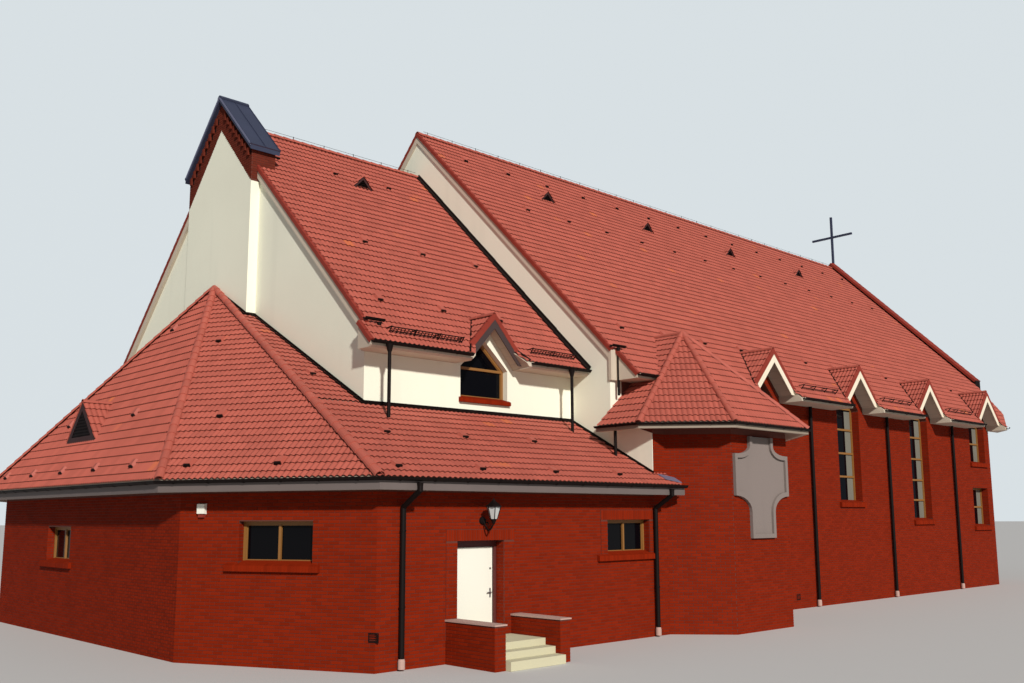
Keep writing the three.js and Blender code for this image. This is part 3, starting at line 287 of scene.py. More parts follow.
class Shape:
    """Gathers faces in real metres, each with a tone from 0 to 1 for its material."""

    def __init__(self):
        self.points = []
        self.faces = []
        self.tones = []
        self.count = 0

    def add(self, points, faces, tones=0.5):
        points = np.asarray([tuple(p) for p in points] if isinstance(points, list) else points, float)
        if np.isscalar(tones):
            tones = [tones] * len(faces)
        start = self.count
        self.faces.extend([[start + i for i in face] for face in faces])
        self.tones.extend(tones)
        self.points.append(points)
        self.count += len(points)

    def box(self, face, u, v, h, tone=0.5, taper=0.0):
        """A block on a face between pairs of u, v and h; its outer side is smaller by the taper."""
        (u0, u1), (v0, v1), (h0, h1), t = u, v, h, taper
        corners = [
            (u0, v0, h0), (u1, v0, h0), (u1, v1, h0), (u0, v1, h0),
            (u0 + t, v0 + t, h1), (u1 - t, v0 + t, h1), (u1 - t, v1 - t, h1), (u0 + t, v1 - t, h1),
        ]
        sides = [(0, 3, 2, 1), (4, 5, 6, 7), (0, 1, 5, 4), (1, 2, 6, 5), (2, 3, 7, 6), (3, 0, 4, 7)]
        self.add(face.many(corners), sides, tone)

    def slab(self, face, outline, h0, h1, tone=0.5):
        """An outline on a face, drawn out from h0 to h1."""
        n = len(outline)
        points = [face.at(u, v, h0) for u, v in outline] + [face.at(u, v, h1) for u, v in outline]
        faces = [tuple(range(n - 1, -1, -1)), tuple(range(n, 2 * n))]
        faces += [(i, (i + 1) % n, n + (i + 1) % n, n + i) for i in range(n)]
        self.add(points, faces, tone)

    def ring(self, face, outer, inner, h0, h1):
        """A frame between two outlines with the same number of corners."""
        n = len(outer)
        points = [face.at(u, v, h) for h in (h0, h1) for line in (outer, inner) for u, v in line]
        faces = []
        for i in range(n):
            j = (i + 1) % n
            faces += [
                (2 * n + i, 2 * n + j, 3 * n + j, 3 * n + i),
                (j, i, n + i, n + j),
                (i, j, 2 * n + j, 2 * n + i),
                (n + j, n + i, 3 * n + i, 3 * n + j),
            ]
        self.add(points, faces)

    def tube(self, path, radius, sides):
        """A round tube along a path, with flat ends; the radius may differ from point to point."""
        path = [Vector(p) for p in path]
        radii = radius if isinstance(radius, (list, tuple)) else [radius] * len(path)
        points = []
        side = None
        for i, p in enumerate(path):
            before = (p - path[i - 1]).normalized() if i else (path[1] - p).normalized()
            after = (path[i + 1] - p).normalized() if i + 1 < len(path) else before
            along = (before + after).normalized()
            if side is None:
                side = along.orthogonal().normalized()
            side = (side - along * side.dot(along)).normalized()
            other = along.cross(side)
            stretch = 1 / max(0.5, along.dot(before))
            bend = (after - before).normalized()
            for k in range(sides):
                angle = 2 * math.pi * k / sides
                offset = (side * math.cos(angle) + other * math.sin(angle)) * radii[i]
                points.append(p + offset + bend * offset.dot(bend) * (stretch - 1))
        faces = []
        for i in range(len(path) - 1):
            for k in range(sides):
                a, b = i * sides + k, i * sides + (k + 1) % sides
                faces.append((a, b, b + sides, a + sides))
        last = (len(path) - 1) * sides
        faces += [tuple(range(sides - 1, -1, -1)), tuple(range(last, last + sides))]
        self.add(points, faces)

    def add_clipped(self, points, quads, tones, cuts, holes=()):
        """Adds a sheet of faces cut along planes, without what lies under the gablets in holes."""
        bm = bmesh.new()
        layer = bm.faces.layers.float.new("tone")
        vertices = [bm.verts.new(p) for p in points]
        for quad, tone in zip(quads, tones):
            face = bm.faces.new([vertices[i] for i in quad])
            face[layer] = tone
        for point, normal in cuts:
            everything = bm.verts[:] + bm.edges[:] + bm.faces[:]
            bmesh.ops.bisect_plane(bm, geom=everything, plane_co=point, plane_no=normal, clear_outer=True)
        for hole in holes:
            reach = [f for f in bm.faces if hole.near(f.calc_center_bounds())]
            for point, normal in hole.planes:
                reach = [f for f in reach if f.is_valid]
                geometry = reach + list({part for f in reach for part in (*f.edges, *f.verts)})
                cut = bmesh.ops.bisect_plane(bm, geom=geometry, plane_co=point, plane_no=normal)
                reach = [g for g in cut["geom"] if isinstance(g, bmesh.types.BMFace)]
            gone = [f for f in reach if f.is_valid and hole.holds(f.calc_center_median())]
            bmesh.ops.delete(bm, geom=gone, context="FACES")
        bm.verts.index_update()
        if bm.faces:
            faces = [[v.index for v in f.verts] for f in bm.faces]
            self.add([v.co[:] for v in bm.verts], faces, [f[layer] for f in bm.faces])
        bm.free()

    def build(self, name, material, slot, body="building", replaces=()):
        """Makes the object with its material and lets it ride on its body; the slot argument is not used."""
        points = np.concatenate(self.points) * SCALE
        points[:, 0] += SHIFT
        mesh = bpy.data.meshes.new(name)
        mesh.from_pydata(points.tolist(), [], self.faces)
        mesh.attributes.new("tone", "FLOAT", "FACE").data.foreach_set("value", self.tones)
        mesh.materials.append(MATERIALS[material])
        mesh.update()
        piece = bpy.data.objects.new(name, mesh)
        bpy.context.scene.collection.objects.link(piece)
        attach(piece, body)
        if replaces:
            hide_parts(*replaces)


# Shader expressions


class Signal:
    """Wraps a socket, so that sums and products of values add their own Math nodes."""

    def __init__(self, tree, socket):
        self.tree = tree
        self.socket = socket

    def maths(self, operation, first, second):
        return self.tree.node("ShaderNodeMath", {"operation": operation}, {0: first, 1: second})

    def __add__(self, other):
        return self.maths("ADD", self, other)

    def __radd__(self, other):
        return self.maths("ADD", other, self)

    def __sub__(self, other):
        return self.maths("SUBTRACT", self, other)

    def __rsub__(self, other):
        return self.maths("SUBTRACT", other, self)

    def __mul__(self, other):
        return self.maths("MULTIPLY", self, other)

    def __rmul__(self, other):
        return self.maths("MULTIPLY", other, self)

    def __gt__(self, other):
        return self.maths("GREATER_THAN", self, other)

    def __lt__(self, other):
        return self.maths("LESS_THAN", self, other)

    def within(self, low, high):
        settings = {"interpolation_type": "SMOOTHSTEP"}
        return self.tree.node("ShaderNodeMapRange", settings, {0: self, 1: low, 2: high})


class Tree:
    """The nodes of one material, ending in a Principled shader."""

    def __init__(self, name):
        self.material = bpy.data.materials.new(name)
        self.material.use_nodes = True
        self.tree = self.material.node_tree
        self.shader = self.tree.nodes["Principled BSDF"]

    def node(self, kind, settings=None, inputs=None, output=0):
        made = self.tree.nodes.new(kind)
        for key, value in (settings or {}).items():
            if key == "stops":
                self.set_stops(made.color_ramp, value)
            else:
                setattr(made, key, value)
        for key, value in (inputs or {}).items():
            self.feed(made.inputs[key], value)
        return Signal(self, made.outputs[output])

    def set_stops(self, ramp, stops):
        while len(ramp.elements) < len(stops):
            ramp.elements.new(0.5)
        for element, (place, colour) in zip(ramp.elements, stops):
            element.position = place
            element.color = (*colour, 1)

    def feed(self, socket, value):
        if isinstance(value, Signal):
            self.tree.links.new(value.socket, socket)
        elif hasattr(value, "__len__") and len(value) == 3 and socket.type == "RGBA":
            socket.default_value = (*value, 1)
        else:
            socket.default_value = value

    def place(self):
        return self.node("ShaderNodeTexCoord", output=3)

    def stretched(self, x, y, z):
        return self.node("ShaderNodeMapping", {}, {"Vector": self.place(), "Scale": (x, y, z)})

    def noise(self, scale, detail=3.0, place=None):
        inputs = {"Vector": place or self.place(), "Scale": scale, "Detail": detail}
        return self.node("ShaderNodeTexNoise", {}, inputs)

    def tone(self):
        return self.node("ShaderNodeAttribute", {"attribute_name": "tone"}, output=2)

    def mix(self, factor, first, second):
        settings = {"data_type": "RGBA"}
        return self.node("ShaderNodeMix", settings, {0: factor, 6: first, 7: second}, output=2)

    def ramp(self, factor, stops):
        return self.node("ShaderNodeValToRGB", {"stops": stops}, {0: factor})

    def bump(self, height, strength, distance):
        inputs = {"Strength": strength, "Distance": distance, "Height": height}
        return self.node("ShaderNodeBump", {}, inputs)

    def finish(self, **sockets):
        for key, value in sockets.items():
            self.feed(self.shader.inputs[key.replace("_", " ")], value)
        MATERIALS[self.material.name] = self.material

    def gloss(self, amount):
        self.shader.inputs["Specular IOR Level"].default_value = amount


MATERIALS = {}


def shade(colour, factor):
    return tuple(c * factor for c in colour)


def fired_clay(name, colour, spread, speckle, roughness, gloss, odd=0.0):
    """Bricks and tiles, each with its own tone, with cloudy marks, a fine grain and a rare odd piece."""
    tree = Tree(name)
    dark, light = shade(colour, 1 - spread), shade(colour, 1 + spread)
    shadow = shade(colour, 0.3)
    stops = [(0.0, shadow), (0.08, shadow), (0.1, dark), (0.5, colour), (0.99, light)]
    if odd:
        stops.append((1 - odd, (colour[0] * 1.3, colour[1] * 1.4, colour[2] * 0.8)))
    base = tree.ramp(tree.tone(), stops)
    clouds = tree.noise(2.2, 4.0)
    stained = tree.mix(clouds.within(0.45, 0.75) * 0.3, base, shade(colour, 0.72))
    grain = tree.noise(speckle, 2.0)
    grained = tree.mix(grain.within(0.55, 0.8) * 0.22, stained, shade(colour, 1.3))
    tree.finish(Base_Color=grained, Roughness=roughness + grain * 0.15, Normal=tree.bump(grain, 0.35, 0.004))
    tree.gloss(gloss)


def plastered(name, colour, stain, grain_scale, strength):
    """Plaster, render and stone: a fine grain with broad cloudy stains and faint runs of water."""
    tree = Tree(name)
    clouds = tree.noise(0.55, 4.0)
    runs = tree.noise(1.0, 3.0, tree.stretched(2.4, 2.4, 0.22))
    grain = tree.noise(grain_scale, 4.0)
    soft = tree.mix(clouds.within(0.35, 0.75) * 0.35, colour, stain)
    streaked = tree.mix(runs.within(0.55, 0.8) * 0.22, soft, shade(stain, 0.85))
    pitted = tree.mix(grain.within(0.55, 0.75) * 0.12, streaked, shade(colour, 0.7))
    tree.finish(Base_Color=pitted, Roughness=0.82 + grain * 0.1, Normal=tree.bump(grain, strength, 0.004))


def coated(name, colour, roughness, metallic=0.0, wear=0.2, gloss=0.5):
    """Painted or coated metal and wood, nearly even, with faint dust and less gloss where it is worn."""
    tree = Tree(name)
    dust = tree.noise(3.0, 5.0)
    fine = tree.noise(60.0, 2.0)
    dusty = tree.mix(dust.within(0.45, 0.8) * wear, colour, shade(colour, 1.6))
    tree.finish(Base_Color=dusty, Roughness=roughness + dust * 0.2, Normal=tree.bump(fine, 0.12, 0.001))
    tree.shader.inputs["Metallic"].default_value = metallic
    tree.gloss(gloss)


def glazed(name, colour, pale):
    """Glass seen from outside, glossy, with the pale inner jamb where the tone is high; the windows'
    near-black colour and its darker patches are painted shade of the dim rooms behind.
    """
    tree = Tree(name)
    folds = tree.noise(1.0, 2.0, tree.stretched(3.0, 3.0, 0.35))
    depth = tree.noise(0.9, 3.0)
    seen = tree.mix((tree.tone() > 0.9) * (0.75 + folds * 0.25), colour, pale)
    tree.gloss(0.12)
    tree.finish(Base_Color=tree.mix(depth * 0.35, seen, shade(colour, 0.4)), Roughness=0.04 + depth * 0.05)


def boarded(name, colour, groove):
    """Painted soffit boards, with dark grooves between them."""
    tree = Tree(name)
    waves = tree.node(
        "ShaderNodeTexWave",
        {"bands_direction": "X", "wave_profile": "SAW"},
        {"Vector": tree.place(), "Scale": 3.2, "Distortion": 0.0},
        output=1,
    )
    dust = tree.noise(2.0, 4.0)
    line = waves > 0.93
    base = tree.mix(dust.within(0.4, 0.8) * 0.3, colour, shade(colour, 0.75))
    lined = tree.mix(line * 0.25, base, groove)
    tree.finish(Base_Color=lined, Roughness=0.55 + dust * 0.15, Normal=tree.bump(1 - line, 0.2, 0.003))


def make_materials(colours):
    fired_clay("roof tile", colours.tile, 0.08, 60.0, 0.5, 0.25, odd=0.001)
    fired_clay("ridge tile", colours.tile, 0.08, 60.0, 0.5, 0.25)
    fired_clay("verge tile", colours.verge, 0.08, 60.0, 0.5, 0.2)
    fired_clay("face brick", colours.brick, 0.13, 90.0, 0.75, 0.06)
    fired_clay("dull brick", colours.dull_brick, 0.13, 90.0, 0.8, 0.06)
    for name, colour, stain, grain_scale, strength in (
        ("mortar", colours.mortar, 0.7, 120.0, 0.4),
        ("wall plaster", colours.plaster, 0.86, 70.0, 0.35),
        ("cement render", colours.render, 0.72, 45.0, 0.6),
        ("cast stone", colours.steps, 0.8, 60.0, 0.4),
        ("coping stone", colours.coping, 0.75, 60.0, 0.4),
        ("floor screed", colours.screed, 0.8, 50.0, 0.3),
    ):
        plastered(name, colour, shade(colour, stain), grain_scale, strength)
    boarded("soffit board", colours.soffit, shade(colours.soffit, 0.35))
    coated("fascia board", colours.fascia, 0.5)
    coated("cream board", colours.cream, 0.5, wear=0.1)
    coated("bay board", colours.bay_board, 0.55, wear=0.1)
    coated("door frame", colours.door_frame, 0.45, wear=0.1)
    coated("dark board", colours.dark_board, 0.6, wear=0.1)
    coated("vent frame", shade(colours.door_frame, 0.35), 0.5, wear=0.1)
    coated("dark gutter metal", colours.gutter, 0.5, wear=0.1, gloss=0.12)
    coated("sheet metal", colours.sheet, 0.32, 0.35)
    coated("window frame", colours.window_frame, 0.4, wear=0.1)
    coated("door paint", colours.door, 0.35, wear=0.02)
    coated("edge metal", colours.edge, 0.35, 0.3)
    coated("steel", (0.35, 0.35, 0.37), 0.28, 0.9)
    # Near-black window glass: painted shade of the dim rooms behind it
    glazed("window glass", (0.002, 0.002, 0.003), colours.jamb)
    glazed("lantern glass", (0.5, 0.5, 0.48), (0.8, 0.8, 0.78))


# Roof tiles

# Heights of the points across one roll of a tile, as shares of its rise
WAVE = (0.0, 0.72, 1.0, 0.5)
WAVE_HEIGHT = 0.03
LIP = 0.03
SEAT = 0.008
TILE_WAVES = 2


def tile_rows(face, u_range, v_range, course, wave):
    """Rows of interlocking tiles on a face: each row is one rippled strip with a lip at its foot."""
    first = math.floor(u_range[0] / wave) - 1
    waves = math.ceil(u_range[1] / wave) + 1 - first
    step = wave / len(WAVE)
    columns = waves * len(WAVE) + 1
    u = first * wave + np.arange(columns) * step
    ripple = np.array([WAVE[i % len(WAVE)] for i in range(columns)]) * WAVE_HEIGHT
    points, quads, tones = [], [], []
    start = 0
    row = math.floor(v_range[0] / course)
    while row * course < v_range[1]:
        foot, head = row * course, (row + 1) * course
        for v, h in ((foot, SEAT), (foot, SEAT + LIP), (head, SEAT)):
            points.append(np.column_stack([u, np.full(columns, v), ripple + h]))
        i = np.arange(columns - 1)
        strip = np.column_stack([i, i + 1, i + 1 + columns, i + columns]) + start
        quads += [strip, strip + columns]
        tiles = [any_tone() for _ in range(waves // TILE_WAVES + 1)]
        tone = np.array(tiles)[i // (len(WAVE) * TILE_WAVES)]
        # The lips get tone zero, which the clay ramp paints as the shadow under a tile's edge
        tones += [np.zeros(len(tone)), tone]
        start += 3 * columns
        row += 1
    points = face.many(np.concatenate(points))
    return points, np.concatenate(quads).tolist(), np.concatenate(tones).tolist()


def plan_cuts(polygon):
    """Upright planes through the sides of a convex plan, with their outer side cut away."""
    sides = list(zip(polygon, polygon[1:] + polygon[:1]))
    turn = 1 if sum(a[0] * b[1] - b[0] * a[1] for a, b in sides) > 0 else -1
    return [((*a, 0), ((b[1] - a[1]) * turn, (a[0] - b[0]) * turn, 0)) for a, b in sides]


def corners_on(face, plan):
    """Where the corners of a plan lie on a sloping face, as u and v."""
    slope = -face.out.xy / face.out.z
    spots = []
    for x, y in plan:
        z = face.origin.z + slope.dot(Vector((x, y)) - face.origin.xy)
        spot = Vector((x, y, z)) - face.origin
        spots.append((spot.dot(face.along), spot.dot(face.up)))
    return spots


def tile_slope(shape, face, plans, settings, holes=(), cuts=(), closer=1.0):
    """Tiles on a roof face, cut to convex plans that share their rows."""
    course = settings.tile_course * closer
    for plan in plans:
        us, vs = zip(*corners_on(face, plan))
        sheet = tile_rows(face, (min(us), max(us)), (min(vs), max(vs)), course, settings.tile_wave)
        shape.add_clipped(*sheet, [*plan_cuts(plan), *cuts], holes)


def ridge_tiles(shape, start, end, radius=0.125, length=0.36):
    """Half-round tiles laid over one another from start up to end."""
    start, end = Vector(start), Vector(end)
    run = end - start
    along = run.normalized()
    across = along.cross(Z).normalized()
    up = across.cross(along)
    count = max(1, round(run.length / length))
    steps = 8
    n = steps + 1
    for k in range(count):
        foot = start + run * (k / count)
        head = start + run * ((k + 1) / count) + along * 0.03
        points = []
        for place, r in ((foot, radius), (head, radius * 0.84)):
            for size in (r, r - 0.018):
                turns = [math.pi * i / steps for i in range(n)]
                points += [place + (across * math.cos(t) + up * math.sin(t)) * size for t in turns]
        faces = []
        for i in range(steps):
            faces.append((i, i + 1, 2 * n + i + 1, 2 * n + i))
            faces.append((n + i, n + i + 1, i + 1, i))
        shape.add(points, faces, any_tone())


def sweep(shape, path, profile):
    """Draws a closed profile of (out, up) offsets along a level or rising path, mitred at its corners."""
    path = [Vector(p) for p in path]
    sections = []
    for i, p in enumerate(path):
        before = (p - path[i - 1] if i else path[1] - p).normalized()
        after = (path[i + 1] - p if i + 1 < len(path) else p - path[i - 1]).normalized()
        out_before, out_after = before.cross(Z).normalized(), after.cross(Z).normalized()
        out = (out_before + out_after).normalized()
        out /= max(0.3, out.dot(out_before))
        up = out_before.cross(before).normalized()
        sections.append([p + out * a + up * b for a, b in profile])
    n = len(profile)
    faces = []
    for i in range(len(path) - 1):
        for k in range(n):
            a, b = i * n + k, i * n + (k + 1) % n
            faces.append((a, b, b + n, a + n))
    faces += [tuple(range(n - 1, -1, -1)), tuple(range((len(path) - 1) * n, len(path) * n))]
    shape.add([p for s in sections for p in s], faces)


def annex_eave():
    """Corners of the annex's eave in plan: the lines of its walls, moved out by the overhang."""
    lines = []
    for a, b in zip(ANNEX_CORNERS, ANNEX_CORNERS[1:]):
        side = Vector((b[0] - a[0], b[1] - a[1])).normalized()
        lines.append((Vector(a) + Vector((-side.y, side.x)) * ANNEX_OVERHANG, side))
    corners = [Vector((ANNEX_END_X, lines[0][0].y))]
    for (p, d), (q, e) in zip(lines, lines[1:]):
        gap = q - p
        corners.append(p + d * (gap.x * e.y - gap.y * e.x) / (d.x * e.y - d.y * e.x))
    corners.append(Vector((ANNEX_END_X, lines[-1][0].y)))
    return corners


def hall_slope(side, eave, ridge, start_x):
    """One slope of a hall's roof, with its origin on the eave."""
    return Face((start_x, side * eave[0], eave[1]), (-side, 0, 0), (0, -side * eave[0], ridge - eave[1]))


def on_side(side, plan):
    return [(x, side * y) for x, y in plan]


def turned(side, items):
    """Items of the south side, in the order that the other side needs for the same outer face."""
    return items if side == SOUTH else items[::-1]


def arc(centre, radius, start, end, steps=6):
    """Points on an ellipse about a centre, between two angles in degrees."""
    turns = [math.radians(start + (end - start) * i / steps) for i in range(steps + 1)]
    return [(centre[0] + radius[0] * math.cos(t), centre[1] + radius[1] * math.sin(t)) for t in turns]


def rising_face(a, b, z, apex):
    """The slope of a hipped roof, from an eave between two corners in plan up to the apex."""
    origin = Vector((*a, z))
    along = Vector((*b, z)) - origin
    return Face(origin, along, along.cross(apex - origin).cross(along))


class Gablet:
    """A small gable over a window, whose roof runs back into a hall's slope."""

    def __init__(self, side, at, half, foot, apex, front, eave, ridge):
        self.side, self.at, self.half = side, at, half
        self.foot, self.apex, self.front = foot, apex, front
        self.slope = (ridge - eave[1]) / eave[0]
        self.ridge = ridge
        rise = apex - foot
        self.planes = [(Vector((at, 0, apex)), Vector((turn * rise, 0, half))) for turn in (1, -1)]
        self.middle = Vector((at, side * (front + self.back(apex)) / 2, (foot + apex) / 2))

    def back(self, z):
        """How far from the middle the hall's slope reaches a height."""
        return (self.ridge - z) / self.slope

    def near(self, point):
        return (point - self.middle).length < GABLET_REACH

    def holds(self, point):
        """Tells whether a point lies under both slopes."""
        return all((point - place).dot(normal) < 0 for place, normal in self.planes)

    def slopes(self):
        """Both tiled faces, with their plan and the cut against the hall's slope."""
        behind = ((0, 0, self.ridge - 0.02), (0, -self.side * self.slope, -1))
        for hand in (-1, 1):
            eave_x = self.at + hand * self.half
            origin = (eave_x, self.side * self.front, self.foot)
            face = Face(origin, (0, hand, 0), (-hand * self.half, 0, self.apex - self.foot))
            plan = [
                (eave_x, self.side * self.front),
                (self.at, self.side * self.front),
                (self.at, self.side * (self.back(self.apex) - 0.2)),
                (eave_x, self.side * min(self.front - 0.02, self.back(self.foot) - 0.2)),
            ]
            yield face, plan, [behind]

    def aprons(self, eave):
        """Plans of the hall's tiles that reach past the gablet's front, on both sides of it."""
        rise = self.apex - self.foot
        near, far, thick = self.front, eave[0], GABLET_THICK
        corners = ((near, thick, self.half), (far, thick, self.half), (far, 0, far), (near, 0, far))
        for hand in (-1, 1):
            plan = []
            for y, drop, most in corners:
                reach = self.half * (self.apex - drop - self.ridge + self.slope * y) / rise
                plan.append((self.at + hand * min(reach, most), self.side * y))
            yield plan


def nave_gablets(side):
    foot, apex = GABLET_FOOT + GABLET_THICK, GABLET_APEX + GABLET_THICK
    return [Gablet(side, at, GABLET_HALF, foot, apex, GABLET_FRONT, *NAVE) for at in GABLETS]


def chancel_gablet(side):
    at, half, front, foot, apex = CHANCEL_GABLET
    foot, apex = foot + GABLET_THICK, apex + GABLET_THICK
    return Gablet(side, at, half, foot, apex, front, *CHANCEL)


def nave_plans():
    near, low, far, corner = NAVE_VERGE_X, NAVE_LOW_VERGE_X, PARAPET_X[0], NAVE_CORNER_X
    cut, foot, eave = NAVE_CUT_Y, NAVE_VERGE_FOOT, NAVE_EAVE[0]
    return [
        [(near, 0), (near, cut), (far, cut), (far, 0)],
        [(near, cut), (near, foot), (corner, foot), (far, cut)],
        [(low, foot), (low, eave), (NAVE_SIDE_END, eave), (corner, foot)],
    ]


def chancel_plans():
    foot, eave = CHANCEL_VERGE_FOOT, CHANCEL_EAVE[0]
    return [
        [(CHANCEL_VERGE_X, 0), (CHANCEL_VERGE_X, foot), (0, foot), (0, 0)],
        [(CHANCEL_LOW_VERGE_X, foot), (CHANCEL_LOW_VERGE_X, eave), (0, eave), (0, foot)],
    ]


# Brickwork


def free_spans(low, high, gaps):
    """What is left of low to high beside the gaps."""
    spans = []
    start = low
    for a, b in sorted(gaps):
        if b <= start or a >= high:
            continue
        if a > start:
            spans.append((start, a))
        start = max(start, b)
    if start < high:
        spans.append((start, high))
    return spans


def brick_field(shape, face, z_range, spans_at, settings, lift=0.0, depth=0.008, upright_bricks=False):
    """Courses of bricks; spans_at gives the stretches of wall that a course at height z fills."""
    length, height, joint = settings.brick_length, settings.brick_height, settings.joint
    if upright_bricks:
        length, height = height, length
    pitch, rise = length + joint, height + joint
    blocks = []
    row = math.ceil(z_range[0] / rise - 1e-6)
    while row * rise + height < z_range[1] + 1e-3:
        z = row * rise
        shift = 0.0 if upright_bricks or row % 2 else pitch / 2
        for a, b in spans_at(z + height / 2):
            u = math.floor((a - shift) / pitch) * pitch + shift
            while u < b:
                left, right = max(a, u), min(b, u + length)
                if right - left > SHORTEST_BRICK:
                    blocks.append((left, right, z, z + height))
                u += pitch
        row += 1
    if not blocks:
        return
    u0, u1, z0, z1 = np.array(blocks).T
    columns = []
    for t, h in ((0.0, lift), (BRICK_BEVEL, lift + depth)):
        for x, y in ((u0 + t, z0 + t), (u1 - t, z0 + t), (u1 - t, z1 - t), (u0 + t, z1 - t)):
            columns.append(np.column_stack([x, y, np.full(len(blocks), h)]))
    points = np.stack(columns, axis=1).reshape(-1, 3)
    pattern = np.array([(4, 5, 6, 7), (0, 1, 5, 4), (1, 2, 6, 5), (2, 3, 7, 6), (3, 0, 4, 7)])
    faces = (np.arange(len(blocks))[:, None, None] * 8 + pattern).reshape(-1, 4)
    tones = np.repeat([any_tone() for _ in blocks], len(pattern))
    shape.add(face.many(points), faces.tolist(), tones.tolist())


def plain_bricks(shape, face, u_range, z_range, settings, openings=(), **options):
    def spans_at(z):
        return free_spans(*u_range, [(o[0], o[1]) for o in openings if o[2] < z < o[3]])

    brick_field(shape, face, z_range, spans_at, settings, **options)


def reveal_bricks(shape, face, u0, u1, z0, z1, deep, settings):
    """Bricks on both jambs of an opening, deep into the wall."""
    for jamb in (Face(face.at(u0, 0), -face.out, Z), Face(face.at(u1, 0, -deep), face.out, Z)):
        plain_bricks(shape, jamb, (0, deep), (z0, z1), settings, depth=0.004)


def brick_sill(shape, face, u0, u1, z, settings, over=(0.1, 0.1), recess=RECESS, low=0.19):
    """A row of upright bricks that slopes out under a window, with a sloping bed behind it."""
    start, length = u0 - over[0], u1 - u0 + sum(over)
    count = round(length / (settings.brick_height + settings.joint))
    front = [(0.004, z + 0.012), (0.1, z - 0.03), (0.1, z - low), (0.004, z - low)]
    bed = [(-recess, z + 0.09), (0.006, z + 0.01), (0.006, z - 0.02), (-recess, z - 0.02)]
    gap = 0.003
    for k in range(count):
        a = start + length * k / count
        b = start + length * (k + 1) / count - gap
        section_bar(shape, face, a, b, front, any_tone())
    section_bar(shape, face, u0 + gap, u1 - gap, bed, 0.9)


def section_bar(shape, face, u0, u1, section, tone):
    """A bar along a face from u0 to u1, with its section given as (h, v)."""
    n = len(section)
    points = [face.at(u, v, h) for u in (u0, u1) for h, v in section]
    faces = [tuple(range(n)), tuple(range(2 * n - 1, n - 1, -1))]
    faces += [(i, n + i, n + (i + 1) % n, (i + 1) % n) for i in range(n)]
    shape.add(points, faces, tone)


def hall_face(side, y):
    return Face((0, side * y, 0), (-side, 0, 0), Z)


def hall_u(side, x0, x1):
    """The stretch of a side wall between two places along the building."""
    return tuple(sorted((-side * x0, -side * x1)))


def half_width(z, half, spring, apex):
    return half if z <= spring else half * max(0.0, (apex - z) / (apex - spring))


def nave_bricks(side, settings):
    shape = Shape()
    face = hall_face(side, NAVE_HALF)

    def spans_at(z):
        if z < NAVE_EAVE_BASE:
            reach = [hall_u(side, BAY_WALL[-1][0], NAVE_SIDE_END)]
        else:
            wide = half_width(z, GABLET_HALF - 0.09, GABLET_FOOT - 0.1, GABLET_APEX - 0.05)
            reach = [hall_u(side, at - wide, at + wide) for at in GABLETS]
        gaps = []
        for at, sill, spring, apex in NAVE_OPENINGS:
            if sill < z < apex:
                half = half_width(z, TALL_HALF, spring, apex)
                gaps.append(hall_u(side, at - half, at + half))
        return [span for low, high in reach for span in free_spans(low, high, gaps)]

    brick_field(shape, face, (0, GABLET_APEX), spans_at, settings)
    for at, sill, spring, _ in NAVE_OPENINGS:
        u0, u1 = hall_u(side, at - TALL_HALF, at + TALL_HALF)
        reveal_bricks(shape, face, u0, u1, sill, spring, NAVE_RECESS, settings)
        brick_sill(shape, face, u0, u1, sill, settings, recess=NAVE_RECESS)
    slanted_corner(shape, side, settings)
    return shape


def slanted_corner(shape, side, settings):
    """Bricks of the slanted corner beside the far gable, up to the roof."""
    ends = [(NAVE_SIDE_END, side * NAVE_HALF), (NAVE_WEST, side * NAVE_WEST_HALF)]
    face = upright(*turned(side, ends))
    wide = (Vector(ends[1]) - Vector(ends[0])).length

    def spans_at(z):
        reach = (NAVE_RIDGE - ROOF_THICK - z) / NAVE_SLOPE
        start = wide * min(1.0, max(0.0, (NAVE_HALF - reach) / (NAVE_HALF - NAVE_WEST_HALF)))
        if start > wide - 0.1:
            return []
        return [(start, wide)] if side == SOUTH else [(0, wide - start)]

    brick_field(shape, face, (0, NAVE_EAVE_BASE + 3), spans_at, settings)


def bay_bricks(side, settings):
    shape = Shape()
    corners = on_side(side, [(0.0, BAY_WALL[0][1]), *BAY_WALL, (BAY_WALL[-1][0], NAVE_HALF)])
    for pair in zip(corners, corners[1:]):
        a, b = turned(side, pair)
        length = (Vector(b) - Vector(a)).length
        plain_bricks(shape, upright(a, b), (0, length), (0, BAY_EAVE_Z - 0.2), settings)
    return shape


def annex_wall(i):
    """The outer face of one annex wall, from its far corner as seen going round the building."""
    return upright(ANNEX_CORNERS[i + 1], ANNEX_CORNERS[i])


def annex_length(i):
    return (Vector(ANNEX_CORNERS[i + 1]) - Vector(ANNEX_CORNERS[i])).length


def annex_openings():
    """The openings of each annex wall, as u0, u1, z0 and z1 on its face."""
    west = -ANNEX_CORNERS[1][0]
    long = annex_length(1)
    c0, c1, *corner_z = CORNER_WINDOW
    e0, e1, *east_z = EAST_WINDOW
    s0, s1, *side_z = SIDE_WINDOW
    end, shift = ANNEX_CORNERS[3][1], NORTH_WINDOW_SHIFT
    return [
        [(DOOR[0] + west, DOOR[1] + west, 0.0, DOOR[2]), (s0 + west, s1 + west, *side_z)],
        [(long - c1, long - c0, *corner_z)],
        [(end - e1, end - e0, *east_z)],
        [(c0, c1, *corner_z)],
        [(-s1, -s0, *side_z), (-s1 - shift, -s0 - shift, *side_z)],
    ]


def annex_bricks(i, settings):
    shape = Shape()
    face = annex_wall(i)
    openings = annex_openings()[i]
    plain_bricks(shape, face, (0, annex_length(i)), (0, ANNEX_EAVE_Z - 0.25), settings, openings)
    for u0, u1, z0, z1 in openings:
        reveal_bricks(shape, face, u0, u1, z0, z1, RECESS, settings)
        if z0 > 1:
            over = (0.4, 0.14) if i == 0 else (0.3, 0.2)
            brick_sill(shape, face, u0, u1, z0, settings, over, low=0.16)
    return shape


